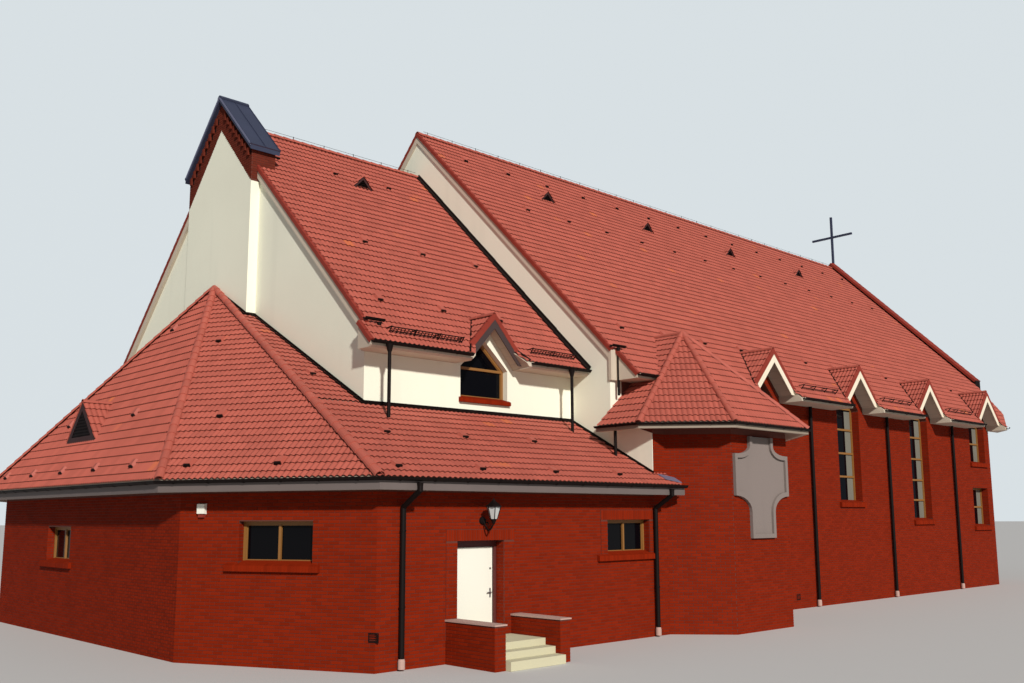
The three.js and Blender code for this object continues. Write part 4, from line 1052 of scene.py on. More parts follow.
def end_wall_bricks(settings):
    """The far gable wall, between its two windows and up to the roof."""
    shape = Shape()
    face = upright((NAVE_WEST, -NAVE_WEST_HALF), (NAVE_WEST, NAVE_WEST_HALF))
    offset, half, sill, head = WEST_WINDOWS

    def spans_at(z):
        reach = min(NAVE_WEST_HALF, (NAVE_RIDGE - ROOF_THICK - z) / NAVE_SLOPE)
        middle = NAVE_WEST_HALF
        gaps = [(middle + s * offset - half, middle + s * offset + half) for s in (-1, 1) if sill < z < head]
        return free_spans(middle - reach, middle + reach, gaps)

    brick_field(shape, face, (0, NAVE_RIDGE - 0.4), spans_at, settings)
    return shape


# Windows


def pointed(centre, half, sill, spring, apex):
    left, right = centre - half, centre + half
    return [(left, sill), (right, sill), (right, spring), (centre, apex), (left, spring)]


def rectangle(u0, u1, z0, z1):
    return [(u0, z0), (u1, z0), (u1, z1), (u0, z1)]


def inset(outline, by):
    """An outline moved inwards, for a convex shape that runs anticlockwise."""
    made = []
    n = len(outline)
    for i in range(n):
        a, b, c = (Vector(outline[(i + k - 1) % n]) for k in range(3))
        d, e = (b - a).normalized(), (c - b).normalized()
        normal, other = Vector((-d.y, d.x)), Vector((-e.y, e.x))
        middle = (normal + other).normalized()
        made.append(tuple(b + middle * by / middle.dot(normal)))
    return made


def window(frames, panes, face, outline, recess, mullions=(), transoms=(), rail=0.07, jamb=0):
    """A window: its outer frame, its bars and one sheet of glass, in which one inner jamb may show."""
    front, back = -recess + FRAME_DEPTH, -recess
    inner = inset(outline, rail)
    frames.ring(face, outline, inner, back, front)
    frames.ring(face, inner, inset(inner, FRAME_BEAD), back, front - FRAME_BEAD)
    (left, low), (right, _), (_, spring) = outline[:3]
    high = max(v for _, v in outline)
    centre, half = (left + right) / 2, (right - left) / 2
    for u in mullions:
        ends = (u - MULLION_HALF, u + MULLION_HALF)
        frames.box(face, ends, (low + rail, high - rail), (back, front), taper=0.004)
    for z in transoms:
        reach = half_width(z, half, spring, high) - 0.03
        ends, heights = (centre - reach, centre + reach), (z - TRANSOM_HALF, z + TRANSOM_HALF)
        frames.box(face, ends, heights, (back, front + 0.004), taper=0.004)
    panes.slab(face, outline, back - 0.01, back + 0.02)
    if jamb:
        ends = sorted((centre + jamb * half * 0.4, centre + jamb * (half - rail)))
        panes.slab(face, rectangle(*ends, low + rail, spring - 0.05), back + 0.02, back + 0.022, 1.0)


def glazed_pieces(name, jobs, replaces):
    """Frames and panes of a row of windows, which stand for the plain sheets of the CAD model."""
    frames, panes = Shape(), Shape()
    for face, outline, recess, mullions, transoms, options in jobs:
        window(frames, panes, face, outline, recess, mullions, transoms, **options)
    frames.build(name + "_frames", "window frame", "gutter_metal", replaces=replaces)
    panes.build(name + "_panes", "window glass", "glass", replaces=replaces)


def nave_window_jobs(side):
    for at, sill, spring, apex in NAVE_OPENINGS:
        if apex > spring:
            outline = pointed(-side * at, TALL_HALF, sill, spring, apex)
            bars = [z for z in TRANSOMS if z > sill + 0.2]
        else:
            outline = rectangle(-side * at - TALL_HALF, -side * at + TALL_HALF, sill, spring)
            bars = [LOW_TRANSOM]
        yield hall_face(side, NAVE_HALF), outline, NAVE_RECESS, (), bars, {"rail": 0.05, "jamb": -side}


def west_window_jobs():
    face = upright((NAVE_WEST, -NAVE_WEST_HALF), (NAVE_WEST, NAVE_WEST_HALF))
    offset, half, sill, head = WEST_WINDOWS
    bars = [z for z in TRANSOMS if z < head - 0.3]
    for u in (NAVE_WEST_HALF - offset, NAVE_WEST_HALF + offset):
        yield face, rectangle(u - half, u + half, sill, head), RECESS, (u,), bars, {}


def annex_window_jobs(walls):
    openings = annex_openings()
    for i in walls:
        for u0, u1, z0, z1 in openings[i]:
            if z0 > 1:
                yield annex_wall(i), rectangle(u0, u1, z0, z1), RECESS, ((u0 + u1) / 2,), (), {}


# Roof trim


def cap_row(shape, start, end, out, profile, length, grow=1.06):
    """A row of overlapping caps of one profile, given as (out, up), laid from start up to end."""
    start, end, out = Vector(start), Vector(end), Vector(out)
    along = (end - start).normalized()
    up = along.cross(out)
    if up.z < 0:
        up = -up
    count = max(1, round((end - start).length / length))
    n = len(profile)
    for k in range(count):
        foot = start.lerp(end, k / count)
        head = start.lerp(end, (k + 1) / count) + along * 0.02
        points = [foot + (out * a + up * (b + 0.012)) * grow for a, b in profile]
        points += [head + out * a + up * b for a, b in profile]
        faces = [tuple(range(n)), tuple(range(2 * n - 1, n - 1, -1))]
        faces += [((i + 1) % n, i, n + i, n + (i + 1) % n) for i in range(n)]
        shape.add(points, faces, any_tone())


def annex_height(y):
    """How high the annex's side slopes are at a distance from the middle."""
    reach = ANNEX_CORNERS[-1][1] + ANNEX_OVERHANG
    return ANNEX_EAVE_Z + (reach - abs(y)) * (ANNEX_APEX.z - ANNEX_EAVE_Z) / reach


def hall_height(eave, ridge, y):
    return ridge - (ridge - eave[1]) * abs(y) / eave[0]


def verges(shape, side):
    """Verge tiles down both free edges of the hall roofs, with the step near each foot."""
    for hall, high_x, low_x, foot, top_y in (
        (NAVE, NAVE_VERGE_X, NAVE_LOW_VERGE_X, NAVE_VERGE_FOOT, 0.0),
        (CHANCEL, CHANCEL_VERGE_X, CHANCEL_LOW_VERGE_X, CHANCEL_VERGE_FOOT, PYLON_HALF - 0.4),
    ):
        for x, low, high in ((high_x, foot, top_y), (low_x, hall[0][0], foot)):
            ends = [(x, side * y, hall_height(*hall, y)) for y in (low, high)]
            cap_row(shape, *ends, (-1, 0, 0), VERGE, VERGE_TILE)


def parapet_cap(shape):
    """Tiles over the raised verge of the far gable."""
    middle = sum(PARAPET_X) / 2
    wide = (PARAPET_X[1] - PARAPET_X[0]) / 2 + 0.05
    profile = [(-wide, -0.1), (-wide, 0.01), (0, 0.07), (wide, 0.01), (wide, -0.1)]
    top = NAVE_RIDGE + PARAPET_RISE
    foot = hall_height(*NAVE, PARAPET_HALF) + PARAPET_RISE
    for side, _ in SIDES:
        ends = (middle, side * PARAPET_HALF, foot), (middle, 0, top)
        cap_row(shape, *ends, (1, 0, 0), profile, PARAPET_TILE, 1.02)


def gablet_boards(side):
    """Cream boards on the fronts of the nave's gablets, and a dark one on the chancel's."""
    cream, dark, red = Shape(), Shape(), Shape()
    for gablet in nave_gablets(side):
        board(cream, gablet, *NAVE_BOARD)
        front_verge(red, gablet, NAVE_FRONT_VERGE)
    small = chancel_gablet(side)
    board(dark, small, *CHANCEL_BOARD)
    front_verge(red, small, CHANCEL_FRONT_VERGE)
    return cream, dark, red


def front_verge(shape, gablet, profile):
    """Tiles up both edges of a gablet's front."""
    for hand in (-1, 1):
        foot = (gablet.at + hand * gablet.half, gablet.side * gablet.front, gablet.foot)
        apex = (gablet.at, gablet.side * gablet.front, gablet.apex)
        cap_row(shape, foot, apex, (0, gablet.side, 0), profile, VERGE_TILE)


def board(shape, gablet, drop, height, thick):
    """Two sloping boards on a gablet's front, a little below its roof line, cut level at their feet."""
    face = hall_face(gablet.side, gablet.front)
    apex, foot = gablet.apex - drop, gablet.foot - drop
    share = height / (apex - foot)
    for hand in (-1, 1):
        foot_u = -gablet.side * (gablet.at + hand * gablet.half)
        apex_u = -gablet.side * gablet.at
        inner_u = foot_u + (apex_u - foot_u) * share
        outline = [(foot_u, foot), (inner_u, foot), (apex_u, apex - height), (apex_u, apex)]
        if foot_u > apex_u:
            outline.reverse()
        shape.slab(face, outline, 0.0, thick)


def junction(side):
    """The line where the annex roof meets the walls behind it, from the bell gable to the bay."""
    plan = [
        (PYLON_X[0], 0.0),
        (PYLON_X[0], PYLON_HALF),
        (CHANCEL_FACE, PYLON_HALF),
        (CHANCEL_FACE, CHANCEL_HALF),
        (0.0, CHANCEL_HALF),
        (0.0, BAY_WALL[0][1]),
    ]
    return turned(side, [Vector((x, side * y, annex_height(y))) for x, y in plan])


def flashings():
    """Dark metal strips where roofs meet walls, and in the valleys beside the gablets."""
    shape = Shape()
    strip = [(0.004, -0.1), (0.12, -0.1), (0.12, 0.025), (0.03, 0.035), (0.02, 0.1), (0.004, 0.1)]
    for side, _ in SIDES:
        sweep(shape, junction(side), strip)
        slope_line(shape, side)
        for gablet in [*nave_gablets(side), chancel_gablet(side)]:
            valleys(shape, gablet)
    return shape


def slope_line(shape, side):
    """The strip between the chancel roof and the nave's gable wall."""
    foot = (0.0, side * CHANCEL_EAVE[0], CHANCEL_EAVE[1])
    profile = [(0.004, 0.0), (0.11, 0.0), (0.11, 0.075), (0.03, 0.1), (0.004, 0.16)]
    cap_row(shape, foot, (0.0, 0.0, CHANCEL_RIDGE), (-1, 0, 0), profile, 2.0, 1.0)


def valleys(shape, gablet):
    side = gablet.side
    top = Vector((gablet.at, side * gablet.back(gablet.apex), gablet.apex))
    for hand in (-1, 1):
        x = gablet.at + hand * gablet.half
        foot = Vector((x, side * gablet.back(gablet.foot), gablet.foot))
        lift = Vector((0, side * 0.03, 0.045))
        shape.tube([foot + lift, top + lift], 0.028, 6)


def eave_runs(side):
    """The stretches of eave that carry a gutter, between the gablets."""
    beside = [at + s * GABLET_HALF for at in GABLETS for s in (-1, 1)]
    edges = [NAVE_LOW_VERGE_X, *BAY_GUTTER_GAP, *beside, NAVE_SIDE_END]
    runs = [(a, b, NAVE_EAVE) for a, b in zip(edges[::2], edges[1::2])]
    at, half = CHANCEL_GABLET[:2]
    runs += [(CHANCEL_LOW_VERGE_X, at - half, CHANCEL_EAVE), (at + half, -0.02, CHANCEL_EAVE)]
    return [turned(side, [Vector((x, side * eave[0], eave[1])) for x in (a, b)]) for a, b, eave in runs]


def half_round(radius, wall=0.008, steps=8):
    """The profile of an open gutter that hangs in front of an eave."""
    turns = [math.pi * i / steps for i in range(steps + 1)]
    return [
        (radius + GUTTER_GAP - reach * math.cos(t), RIM - reach * math.sin(t))
        for reach, way in ((radius, turns), (radius - wall, turns[::-1]))
        for t in way
    ]


def bead(shape, line, radius):
    """The rolled front edge of a gutter."""
    sweep(shape, line, arc((2 * radius + GUTTER_GAP, RIM), (0.01, 0.01), 0, 300, 5))


def brackets(shape, line, radius, apart=0.9):
    """Hooks that hold a gutter up."""
    for a, b in zip(line, line[1:]):
        count = max(1, int((b - a).length / apart))
        out = (b - a).normalized().cross(Z)
        hook = arc((radius + GUTTER_GAP, RIM), (-radius - 0.006, -radius - 0.006), 0, 180)
        for k in range(count):
            spot = a.lerp(b, (k + 0.5) / count)
            shape.tube([spot + out * reach + Z * rise for reach, rise in hook], 0.007, 4)


def gutter(shape, line, radius=0.07):
    sweep(shape, line, half_round(radius))
    bead(shape, line, radius)
    brackets(shape, line, radius)


def downpipe(shape, feet, side, x, eave, wall_y, foot_z, bent=True):
    """A round pipe from the gutter, bent back to the wall or straight down, with clips and a shoe."""
    near = side * (wall_y + 0.11)
    out = side * (eave[0] + 0.08) if bent else near
    top = eave[1] - 0.1
    path = [(x, near, foot_z)]
    if bent:
        path = [(x, out, top), (x, out, top - 0.14), (x, near, top - 0.14 - abs(out - near) * 0.6), *path]
        shape.tube([(x, out, top + 0.02), (x, out, top - 0.1)], [0.07, 0.052], 14)
    else:
        path = [(x, near, top), *path]
    shape.tube(path, PIPE, 14)
    z = path[-2][2] - 0.5
    while z > foot_z + 0.4:
        shape.tube([(x, near, z - 0.018), (x, near, z + 0.018)], CLIP, 14)
        shape.tube([(x, near, z), (x, side * wall_y, z)], 0.008, 6)
        z -= CLIPS_APART
    feet.tube([(x, near, 0.04), (x, near, 0.2), (x, near, 0.25)], SHOE, 14)


def rainwater(side, name):
    """All gutters and pipes of one side of the halls."""
    shape, feet, small = Shape(), Shape(), Shape()
    for line in eave_runs(side):
        gutter(shape, line)
    for x in NAVE_PIPES:
        downpipe(shape, feet, side, x, (NAVE_EAVE[0], NAVE_EAVE_BASE + 0.2), NAVE_HALF, 0.05, bent=False)
    for x in CHANCEL_PIPES:
        spot = (x, side * (CHANCEL_EAVE[0] + 0.07))
        small.tube([(*spot, CHANCEL_EAVE[1] - 0.03), (*spot, CHANCEL_EAVE[1] - 0.22)], [0.1, 0.055], 14)
        small.tube([(*spot, CHANCEL_EAVE[1] - 0.15), (*spot, annex_height(spot[1]))], 0.045, 14)
    for hall, x, foot, spout, drop in (
        (NAVE, NAVE_VERGE_X, NAVE_VERGE_FOOT, 0.24, 1.4),
        (CHANCEL, CHANCEL_VERGE_X - 0.03, CHANCEL_VERGE_FOOT, 0.4, 0.26),
    ):
        verge_box(small, side, x, foot, hall_height(*hall, foot), spout, drop)
    shape.build("nave_rainwater_" + name, *METAL, replaces=["nave_gutter_" + name])
    small.build("chancel_rainwater_" + name, *METAL, replaces=["chancel_gutter_" + name])
    return feet


def verge_box(shape, side, x, y, z, spout, drop):
    """A short gutter at the foot of the upper verge, with a spout."""
    z += 0.13
    line = [Vector((x - 0.06, side * y, z)), Vector((x + 0.55, side * y, z))]
    gutter(shape, turned(side, line), 0.06)
    spot = (x + spout, side * (y + 0.07))
    shape.tube([(*spot, z - 0.06), (*spot, z - 0.2), (*spot, z - 0.06 - drop)], [0.065, 0.042, 0.04], 12)


def annex_rainwater():
    """The gutter round the annex, with the board behind it and its four pipes."""
    shape, feet, boards = Shape(), Shape(), Shape()
    line = [Vector((c.x, c.y, ANNEX_EAVE_Z)) for c in annex_eave()[::-1]]
    gutter(shape, line)
    sweep(boards, line, [(0.002, -0.235), (0.022, -0.235), (0.022, 0.02), (0.002, 0.02)])
    eave = (line[-1].y * SOUTH, ANNEX_EAVE_Z)
    for side, _ in SIDES:
        for x in ANNEX_PIPES:
            downpipe(shape, feet, side, x, eave, ANNEX_CORNERS[-1][1], 0.05)
    shape.build("annex_rainwater", *METAL, replaces=["annex_gutter"])
    boards.build("annex_fascia", "fascia board", "plaster")
    return feet


def bay_trim(side):
    """The thin gutter and the light board under the eave of a bay."""
    shape, boards = Shape(), Shape()
    plan = [(BAY_RIM[0][0], NAVE_HALF), *BAY_RIM, (BAY_RIM[-1][0], NAVE_EAVE[0])]
    line = turned(side, [Vector((x, side * y, BAY_EAVE_Z)) for x, y in plan])
    gutter(shape, line, 0.055)
    sweep(boards, line, [(0.002, -0.125), (0.016, -0.125), (0.016, 0.01), (0.002, 0.01)])
    spot = (BAY_RIM[0][0] + 0.12, side * (NAVE_HALF + 0.6))
    shape.tube([(*spot, BAY_EAVE_Z - 0.12), (*spot, annex_height(spot[1]) + 0.04)], 0.045, 12)
    return shape, boards


# Small things on the roofs


def snow_guard(shape, face, u0, u1, v, pickets):
    """Rails on posts that hold the snow back; the chancel's have close pickets between them."""
    for h in GUARD_RAILS:
        shape.tube([face.at(u0, v, h), face.at(u1, v, h)], 0.015, 6)
    posts = max(2, round((u1 - u0) / GUARD_POSTS_APART))
    for k in range(posts + 1):
        u = u0 + (u1 - u0) * k / posts
        shape.tube([face.at(u, v + 0.18, 0.03), face.at(u, v, GUARD_TOP)], 0.016, 6)
        shape.tube([face.at(u, v, 0.02), face.at(u, v, GUARD_TOP)], 0.016, 6)
    if pickets:
        for u in np.arange(u0, u1, PICKETS_APART):
            shape.tube([face.at(u, v, 0.05), face.at(u, v, GUARD_RAILS[1])], 0.011, 4)


def vent_tile(hump, slot, face, u, v):
    """A tile with a hooded vent; the opening under the hood is a near-black box, painted shade."""
    hump.box(face, (u - 0.11, u + 0.11), (v - 0.02, v + 0.22), (0.02, 0.11), 0.4, 0.03)
    slot.box(face, (u - 0.085, u + 0.085), (v - 0.045, v + 0.03), (0.03, 0.1), 0.5, 0.004)


def vent_dormer(parts, gablet):
    """A little gabled vent: tiled cheeks over a frame with dark slats, and a near-black sheet behind them as
    painted shade.
    """
    tiles, frames, slats, settings = parts
    for face, plan, cuts in gablet.slopes():
        tile_slope(tiles, face, [plan], settings, cuts=cuts)
    face = hall_face(gablet.side, gablet.front - 0.05)
    u, half, foot, apex = -gablet.side * gablet.at, gablet.half, gablet.foot, gablet.apex
    outline = [(u - half, foot), (u + half, foot), (u, apex)]
    inner_half, inner_apex = half - 0.11, apex - 0.1
    inner = [(u - inner_half, foot + 0.05), (u + inner_half, foot + 0.05), (u, inner_apex)]
    frames.ring(face, outline, inner, -0.12, 0.02)
    # A near-black sheet across the opening behind the slats: painted shade
    slats.slab(face, inner, -0.1, -0.06)
    for k in range(DORMER_SLATS):
        z = foot + 0.07 + k * (apex - foot - 0.2) / DORMER_SLATS
        wide = half_width(z, inner_half, foot, inner_apex)
        slats.box(face, (u - wide, u + wide), (z, z + 0.02), (-0.07, 0.0))


def roof_fittings(settings):
    guards, humps, slot_shade = Shape(), Shape(), Shape()
    tiles, frames, slats = Shape(), Shape(), Shape()
    beside = [at + s * (GABLET_HALF + 0.55) for at in GABLETS for s in (-1, 1)][1:-1]
    at, half = CHANCEL_GABLET[:2]
    small = [(CHANCEL_LOW_VERGE_X + 0.75, at - half - 0.1), (at + half + 0.25, -0.35)]
    halls = (
        (NAVE, list(zip(beside[::2], beside[1::2])), 0.55, NAVE_VENTS, NAVE_DORMERS),
        (CHANCEL, small, 0.45, CHANCEL_VENTS, CHANCEL_DORMERS),
    )
    for side, _ in SIDES:
        for hall, guarded, guard_v, (start, end, rows), (front, places) in halls:
            face = hall_slope(side, *hall, 0.0)
            for ends in guarded:
                snow_guard(guards, face, *hall_u(side, *ends), guard_v, hall == CHANCEL)
            for row, v in enumerate(rows):
                for x in np.arange(start + (row % 2) * 1.1, end, VENTS_APART):
                    vent_tile(humps, slot_shade, face, -side * x, v)
            foot = hall_height(*hall, front) + 0.02
            for x in places:
                gablet = Gablet(side, x, DORMER_HALF, foot, foot + DORMER_RISE, front, *hall)
                vent_dormer((tiles, frames, slats, settings), gablet)
    annex_vents(humps, slot_shade)
    east_vent(frames, slats)
    east_vent_tiles(tiles, settings)
    guards.build("snow_guards", *METAL)
    humps.build("vent_tiles", *RIDGE_TILES)
    slot_shade.build("vent_tile_opening_shade", *METAL)
    tiles.build("vent_dormer_tiles", *TILES)
    frames.build("vent_dormer_frames", "vent frame", "sheet_metal")
    slats.build("vent_dormer_slats", *METAL)


def annex_roof_face(i):
    corners = annex_eave()
    return rising_face(corners[i + 1], corners[i], ANNEX_EAVE_Z, ANNEX_APEX)


def annex_vents(humps, slot_shade):
    """Vent tiles in staggered rows on each face of the annex roof."""
    corners = annex_eave()
    for i in range(len(ANNEX_NAMES)):
        face = annex_roof_face(i)
        width = (corners[i] - corners[i + 1]).length
        apex = ANNEX_APEX - face.origin
        top_u, top_v = apex.dot(face.along), apex.dot(face.up)
        for row, v in enumerate(ANNEX_VENT_ROWS):
            near = top_u * v / top_v + 0.7
            far = width - (width - top_u) * v / top_v - 0.7
            if i in (0, 4) and v > 2:
                free = (width - ANNEX_END_X) if v < 4 else top_u
                near, far = (near, min(far, free)) if i == 0 else (max(near, width - free), far)
            for u in np.arange(near + (row % 2) * 0.6, far, ANNEX_VENTS_APART):
                vent_tile(humps, slot_shade, face, u, v)


def east_vent(frames, slats):
    """The frame and slats of the vent in the annex's end slope, over a near-black back sheet as painted
    shade.
    """
    x, y, half, foot, apex = VENT_DORMER
    face = Face((x, 0, 0), (0, -1, 0), Z)
    outline = [(-y - half, foot), (-y + half, foot), (-y, apex)]
    inner = inset(outline, 0.16)
    frames.ring(face, outline, inner, 0.0, 0.03)
    # A near-black back sheet behind the slats: painted shade
    slats.slab(face, inner, 0.0, 0.012)
    low, high = inner[0][1], inner[2][1]
    for z in np.arange(low + 0.03, high - 0.1, 0.09):
        wide = (inner[1][0] - inner[0][0]) / 2 * (high - z) / (high - low)
        slats.box(face, (-y - wide, -y + wide), (z, z + 0.05), (0.012, 0.035), taper=0.004)


def east_vent_tiles(tiles, settings):
    """The tiled slopes of that vent, back into the end slope."""
    x, y, half, foot, apex = VENT_DORMER
    back, ridge_back = VENT_TILES_BACK
    eave_x = annex_eave()[2].x
    rise = (ANNEX_APEX.z - ANNEX_EAVE_Z) / (ANNEX_APEX.x - eave_x)
    behind = ((eave_x, 0, ANNEX_EAVE_Z - 0.02), (rise, 0, -1))
    for hand in (-1, 1):
        face = Face((x, y + hand * half, foot), (-hand, 0, 0), (0, -hand * half, apex - foot))
        plan = [(x - 0.04, y + hand * half), (x - 0.04, y), (back, y), (back, y + hand * half)]
        tile_slope(tiles, face, [plan], settings, cuts=[behind])
    ridge_tiles(tiles, (x - 0.04, y, apex), (ridge_back, y, apex), 0.1)


def conductor(shape):
    """The lightning wire along the ridges, on small holders."""
    nave = (NAVE_VERGE_X + 0.3, PARAPET_X[0], NAVE_RIDGE)
    for x0, x1, z in (nave, (PYLON_X[1] + 0.4, -0.1, CHANCEL_RIDGE)):
        shape.tube([(x0, 0, z + 0.2), (x1, 0, z + 0.2)], 0.006, 4)
        for x in np.arange(x0 + 0.2, x1, 1.2):
            shape.tube([(x, 0, z + 0.1), (x, 0, z + 0.22)], 0.012, 5)


# Bell gable


def bell_gable_bricks(settings):
    """The brick head, with a row of teeth under each edge of its roof and painted shade between the teeth.
    """
    _, _, eave_half, eave_z, ridge_z, thick = PYLON_ROOF
    slope = (ridge_z - eave_z) / eave_half
    under = ridge_z - thick
    bricks, slot_shade = Shape(), Shape()

    def spans_at(z):
        outer = min(PYLON_HALF, (under - z) / slope)
        inner = PYLON_HALF * max(0.0, PYLON_PANEL_APEX - z) / (PYLON_PANEL_APEX - PYLON_SHOULDER)
        return [(-outer, -inner), (inner, outer)] if inner > 0 else [(-outer, outer)]

    for x, turn in ((PYLON_X[0], -1), (PYLON_X[1], 1)):
        face = Face((x, 0, 0), (0, turn, 0), Z)
        brick_field(bricks, face, (PYLON_SHOULDER, under), spans_at, settings)
    for side, _ in SIDES:
        face = hall_face(side, PYLON_HALF)
        ends = hall_u(side, *PYLON_X)
        plain_bricks(bricks, face, ends, (PYLON_SHOULDER, under - slope * PYLON_HALF), settings)
    face = Face((PYLON_X[0], 0, 0), (0, -1, 0), Z)
    for hand in (-1, 1):
        for k in range(PYLON_TEETH):
            u = hand * (0.3 + k * PYLON_TOOTH_APART)
            top = under - slope * (abs(u) + 0.05) - 0.12
            bricks.box(face, (u - 0.05, u + 0.05), (top - 0.24, top), (0.0, 0.075), any_tone(), 0.004)
            # Near-black sheets in the gaps between the teeth: painted shade
            slot_shade.box(face, (u + 0.055, u + 0.145), (top - 0.22, top - 0.03), (0.0, 0.014), taper=0.004)
    bricks.build("bell_gable_bricks", "dull brick", "brick")
    slot_shade.build("bell_gable_slot_shade", *METAL)


def bell_gable_roof():
    """The seams and edges of the folded metal roof."""
    front_x, back_x, eave_half, eave_z, ridge_z, _ = PYLON_ROOF
    metal, edge = Shape(), Shape()
    wide = back_x - front_x
    length = math.hypot(eave_half, ridge_z - eave_z)
    front = Face((front_x, 0, 0), (0, -1, 0), Z)
    for hand in (-1, 1):
        foot = hand * eave_half
        start = (front_x if hand < 0 else back_x, foot, eave_z)
        roof = Face(start, (-hand, 0, 0), (0, -foot, ridge_z - eave_z))
        for u in (0.0, wide * 0.5, wide - SEAM):
            metal.box(roof, (u, u + SEAM), (0.0, length), (0.0, 0.022))
        metal.box(roof, (-0.02, wide + 0.02), (-0.03, 0.03), (-0.06, 0.012), taper=0.002)
        metal.box(roof, (-0.02, wide + 0.02), (length - 0.12, length + 0.01), (0.005, 0.045), taper=0.01)
        outline = [(foot, eave_z - 0.07), (foot, eave_z + 0.01), (0, ridge_z + 0.01), (0, ridge_z - 0.07)]
        edge.slab(front, outline if hand < 0 else outline[::-1], 0.0, SEAM)
    metal.build("bell_gable_seams", "sheet metal", "sheet_metal")
    edge.build("bell_gable_edge", "edge metal", "sheet_metal")


# Side bays


def panel_outline(by=0.0):
    """The panel on the bay: a wide body with hollow curves to the neck above and the stem below."""
    x, top, bottom, half, neck, stem, body_top, body_bottom, stem_top, neck_bottom = PANEL
    half, neck, stem = half - by, neck - by, stem - by
    low, high = body_bottom + by, body_top - by
    right = [(stem, bottom + by)]
    right += arc((half, stem_top), (half - stem, low - stem_top), 180, 90)
    right += [(half, high)]
    right += arc((half - 0.1, neck_bottom + 0.02), (half - 0.1 - neck, neck_bottom + 0.02 - high), 270, 180)
    right += [(neck, top - 0.01)]
    return [(x + dx, z) for dx, z in right] + [(x - dx, z) for dx, z in right[::-1]]


def bay_panel(side):
    shape = Shape()
    face = hall_face(side, BAY_WALL[1][1])
    outlines = []
    for by in (0.0, 0.12):
        outlines.append(turned(side, [(-side * u, v) for u, v in panel_outline(by)]))
    outer, inner = outlines
    shape.slab(face, outer, 0.001, 0.03)
    shape.ring(face, outer, inner, 0.03, 0.1)
    return shape


def bay_cheek(side):
    """The plastered side of a bay above the annex roof."""
    shape = Shape()
    near, far = NAVE_HALF, BAY_WALL[0][1]
    face = Face((0, 0, 0), (0, -1, 0), Z)
    outline = [(near, 4.0), (far + 0.004, 4.0), (far + 0.004, BAY_EAVE_Z - 0.22), (near, BAY_EAVE_Z + 0.3)]
    shape.slab(face, turned(side, [(-side * u, z) for u, z in outline]), 0.0, 0.02)
    return shape


# Entrance


def entrance(settings):
    south = ANNEX_CORNERS[-1][1]
    wall = annex_wall(0)
    shift = -ANNEX_CORNERS[1][0]
    margins, backs = Shape(), Shape()
    s0, s1, sill, head = SIDE_WINDOW
    for u0, u1, low, high, wide in (
        (DOOR[0], DOOR[1], FLOOR, DOOR[2], DOOR_MARGIN),
        (s0, s1, sill - 0.11, head, WINDOW_MARGIN),
    ):
        raised_margin(margins, backs, wall, (u0 + shift, u1 + shift), low, high, wide, settings)
    plain_bricks(margins, annex_wall(1), *CORNER_BAND, settings, lift=0.006, upright_bricks=True)
    margins.build("raised_brick_margins", *BRICKS)
    backs.build("raised_margin_mortar", *MORTAR)
    steps(settings, south)
    lantern(south)
    door_fittings()


def raised_margin(bricks, backs, face, opening, low, head, wide, settings):
    """Bricks that stand out round an opening, upright above it."""
    u0, u1 = opening
    lift = MARGIN_LIFT
    for a, b in ((u0 - wide, u0), (u1, u1 + wide)):
        plain_bricks(bricks, face, (a, b), (low, head), settings, lift=lift)
        backs.box(face, (a, b), (low, head), (0.0, lift + 0.001))
    over = (u0 - wide, u1 + wide)
    backs.box(face, over, (head, head + MARGIN_HEAD), (0.0, lift + 0.001))
    rows = Face(face.at(0, head), face.along, Z)
    plain_bricks(bricks, rows, over, (0, MARGIN_HEAD), settings, lift=lift, upright_bricks=True)


def steps(settings, south):
    """Cream steps between two brick walls with copings."""
    treads, bricks, backs, copings = Shape(), Shape(), Shape(), Shape()
    x0, x1 = STEPS_X
    front = hall_face(SOUTH, 0.0)
    near, z = south, FLOOR
    for i in range(STEP_COUNT):
        far = STEPS_Y + i * TREAD
        treads.box(front, (x0, x1), (0.0, z), (near, far), taper=0.004)
        near = far - 0.01
        z -= RISER
    sill = (DOOR[0] + 0.01, DOOR[1] - 0.01)
    treads.box(front, sill, (0.0, FLOOR), (south - WALL + 0.02, south + 0.05), taper=0.003)
    wide, out, high, cap = STEP_WALL
    top = high - cap
    for a, b in ((x0 - wide, x0), (x1, x1 + wide)):
        backs.box(front, (a, b), (0.0, top), (south, out))
        plain_bricks(bricks, hall_face(SOUTH, out), (a, b), (0, top), settings)
        for x, turn in ((a, -1), (b, 1)):
            reach = (south, out) if turn < 0 else (-out, -south)
            plain_bricks(bricks, Face((x, 0, 0), (0, turn, 0), Z), reach, (0, top), settings)
        copings.box(front, (a - 0.03, b + 0.03), (top, high), (south, out + 0.03), taper=0.004)
    for shape, name, look in (
        (treads, "entrance_steps", ("cast stone", "step_stone")),
        (backs, "step_wall_mortar", MORTAR),
        (bricks, "step_wall_bricks", BRICKS),
        (copings, "step_copings", COPING),
    ):
        shape.build(name, *look, replaces=["door_steps"])


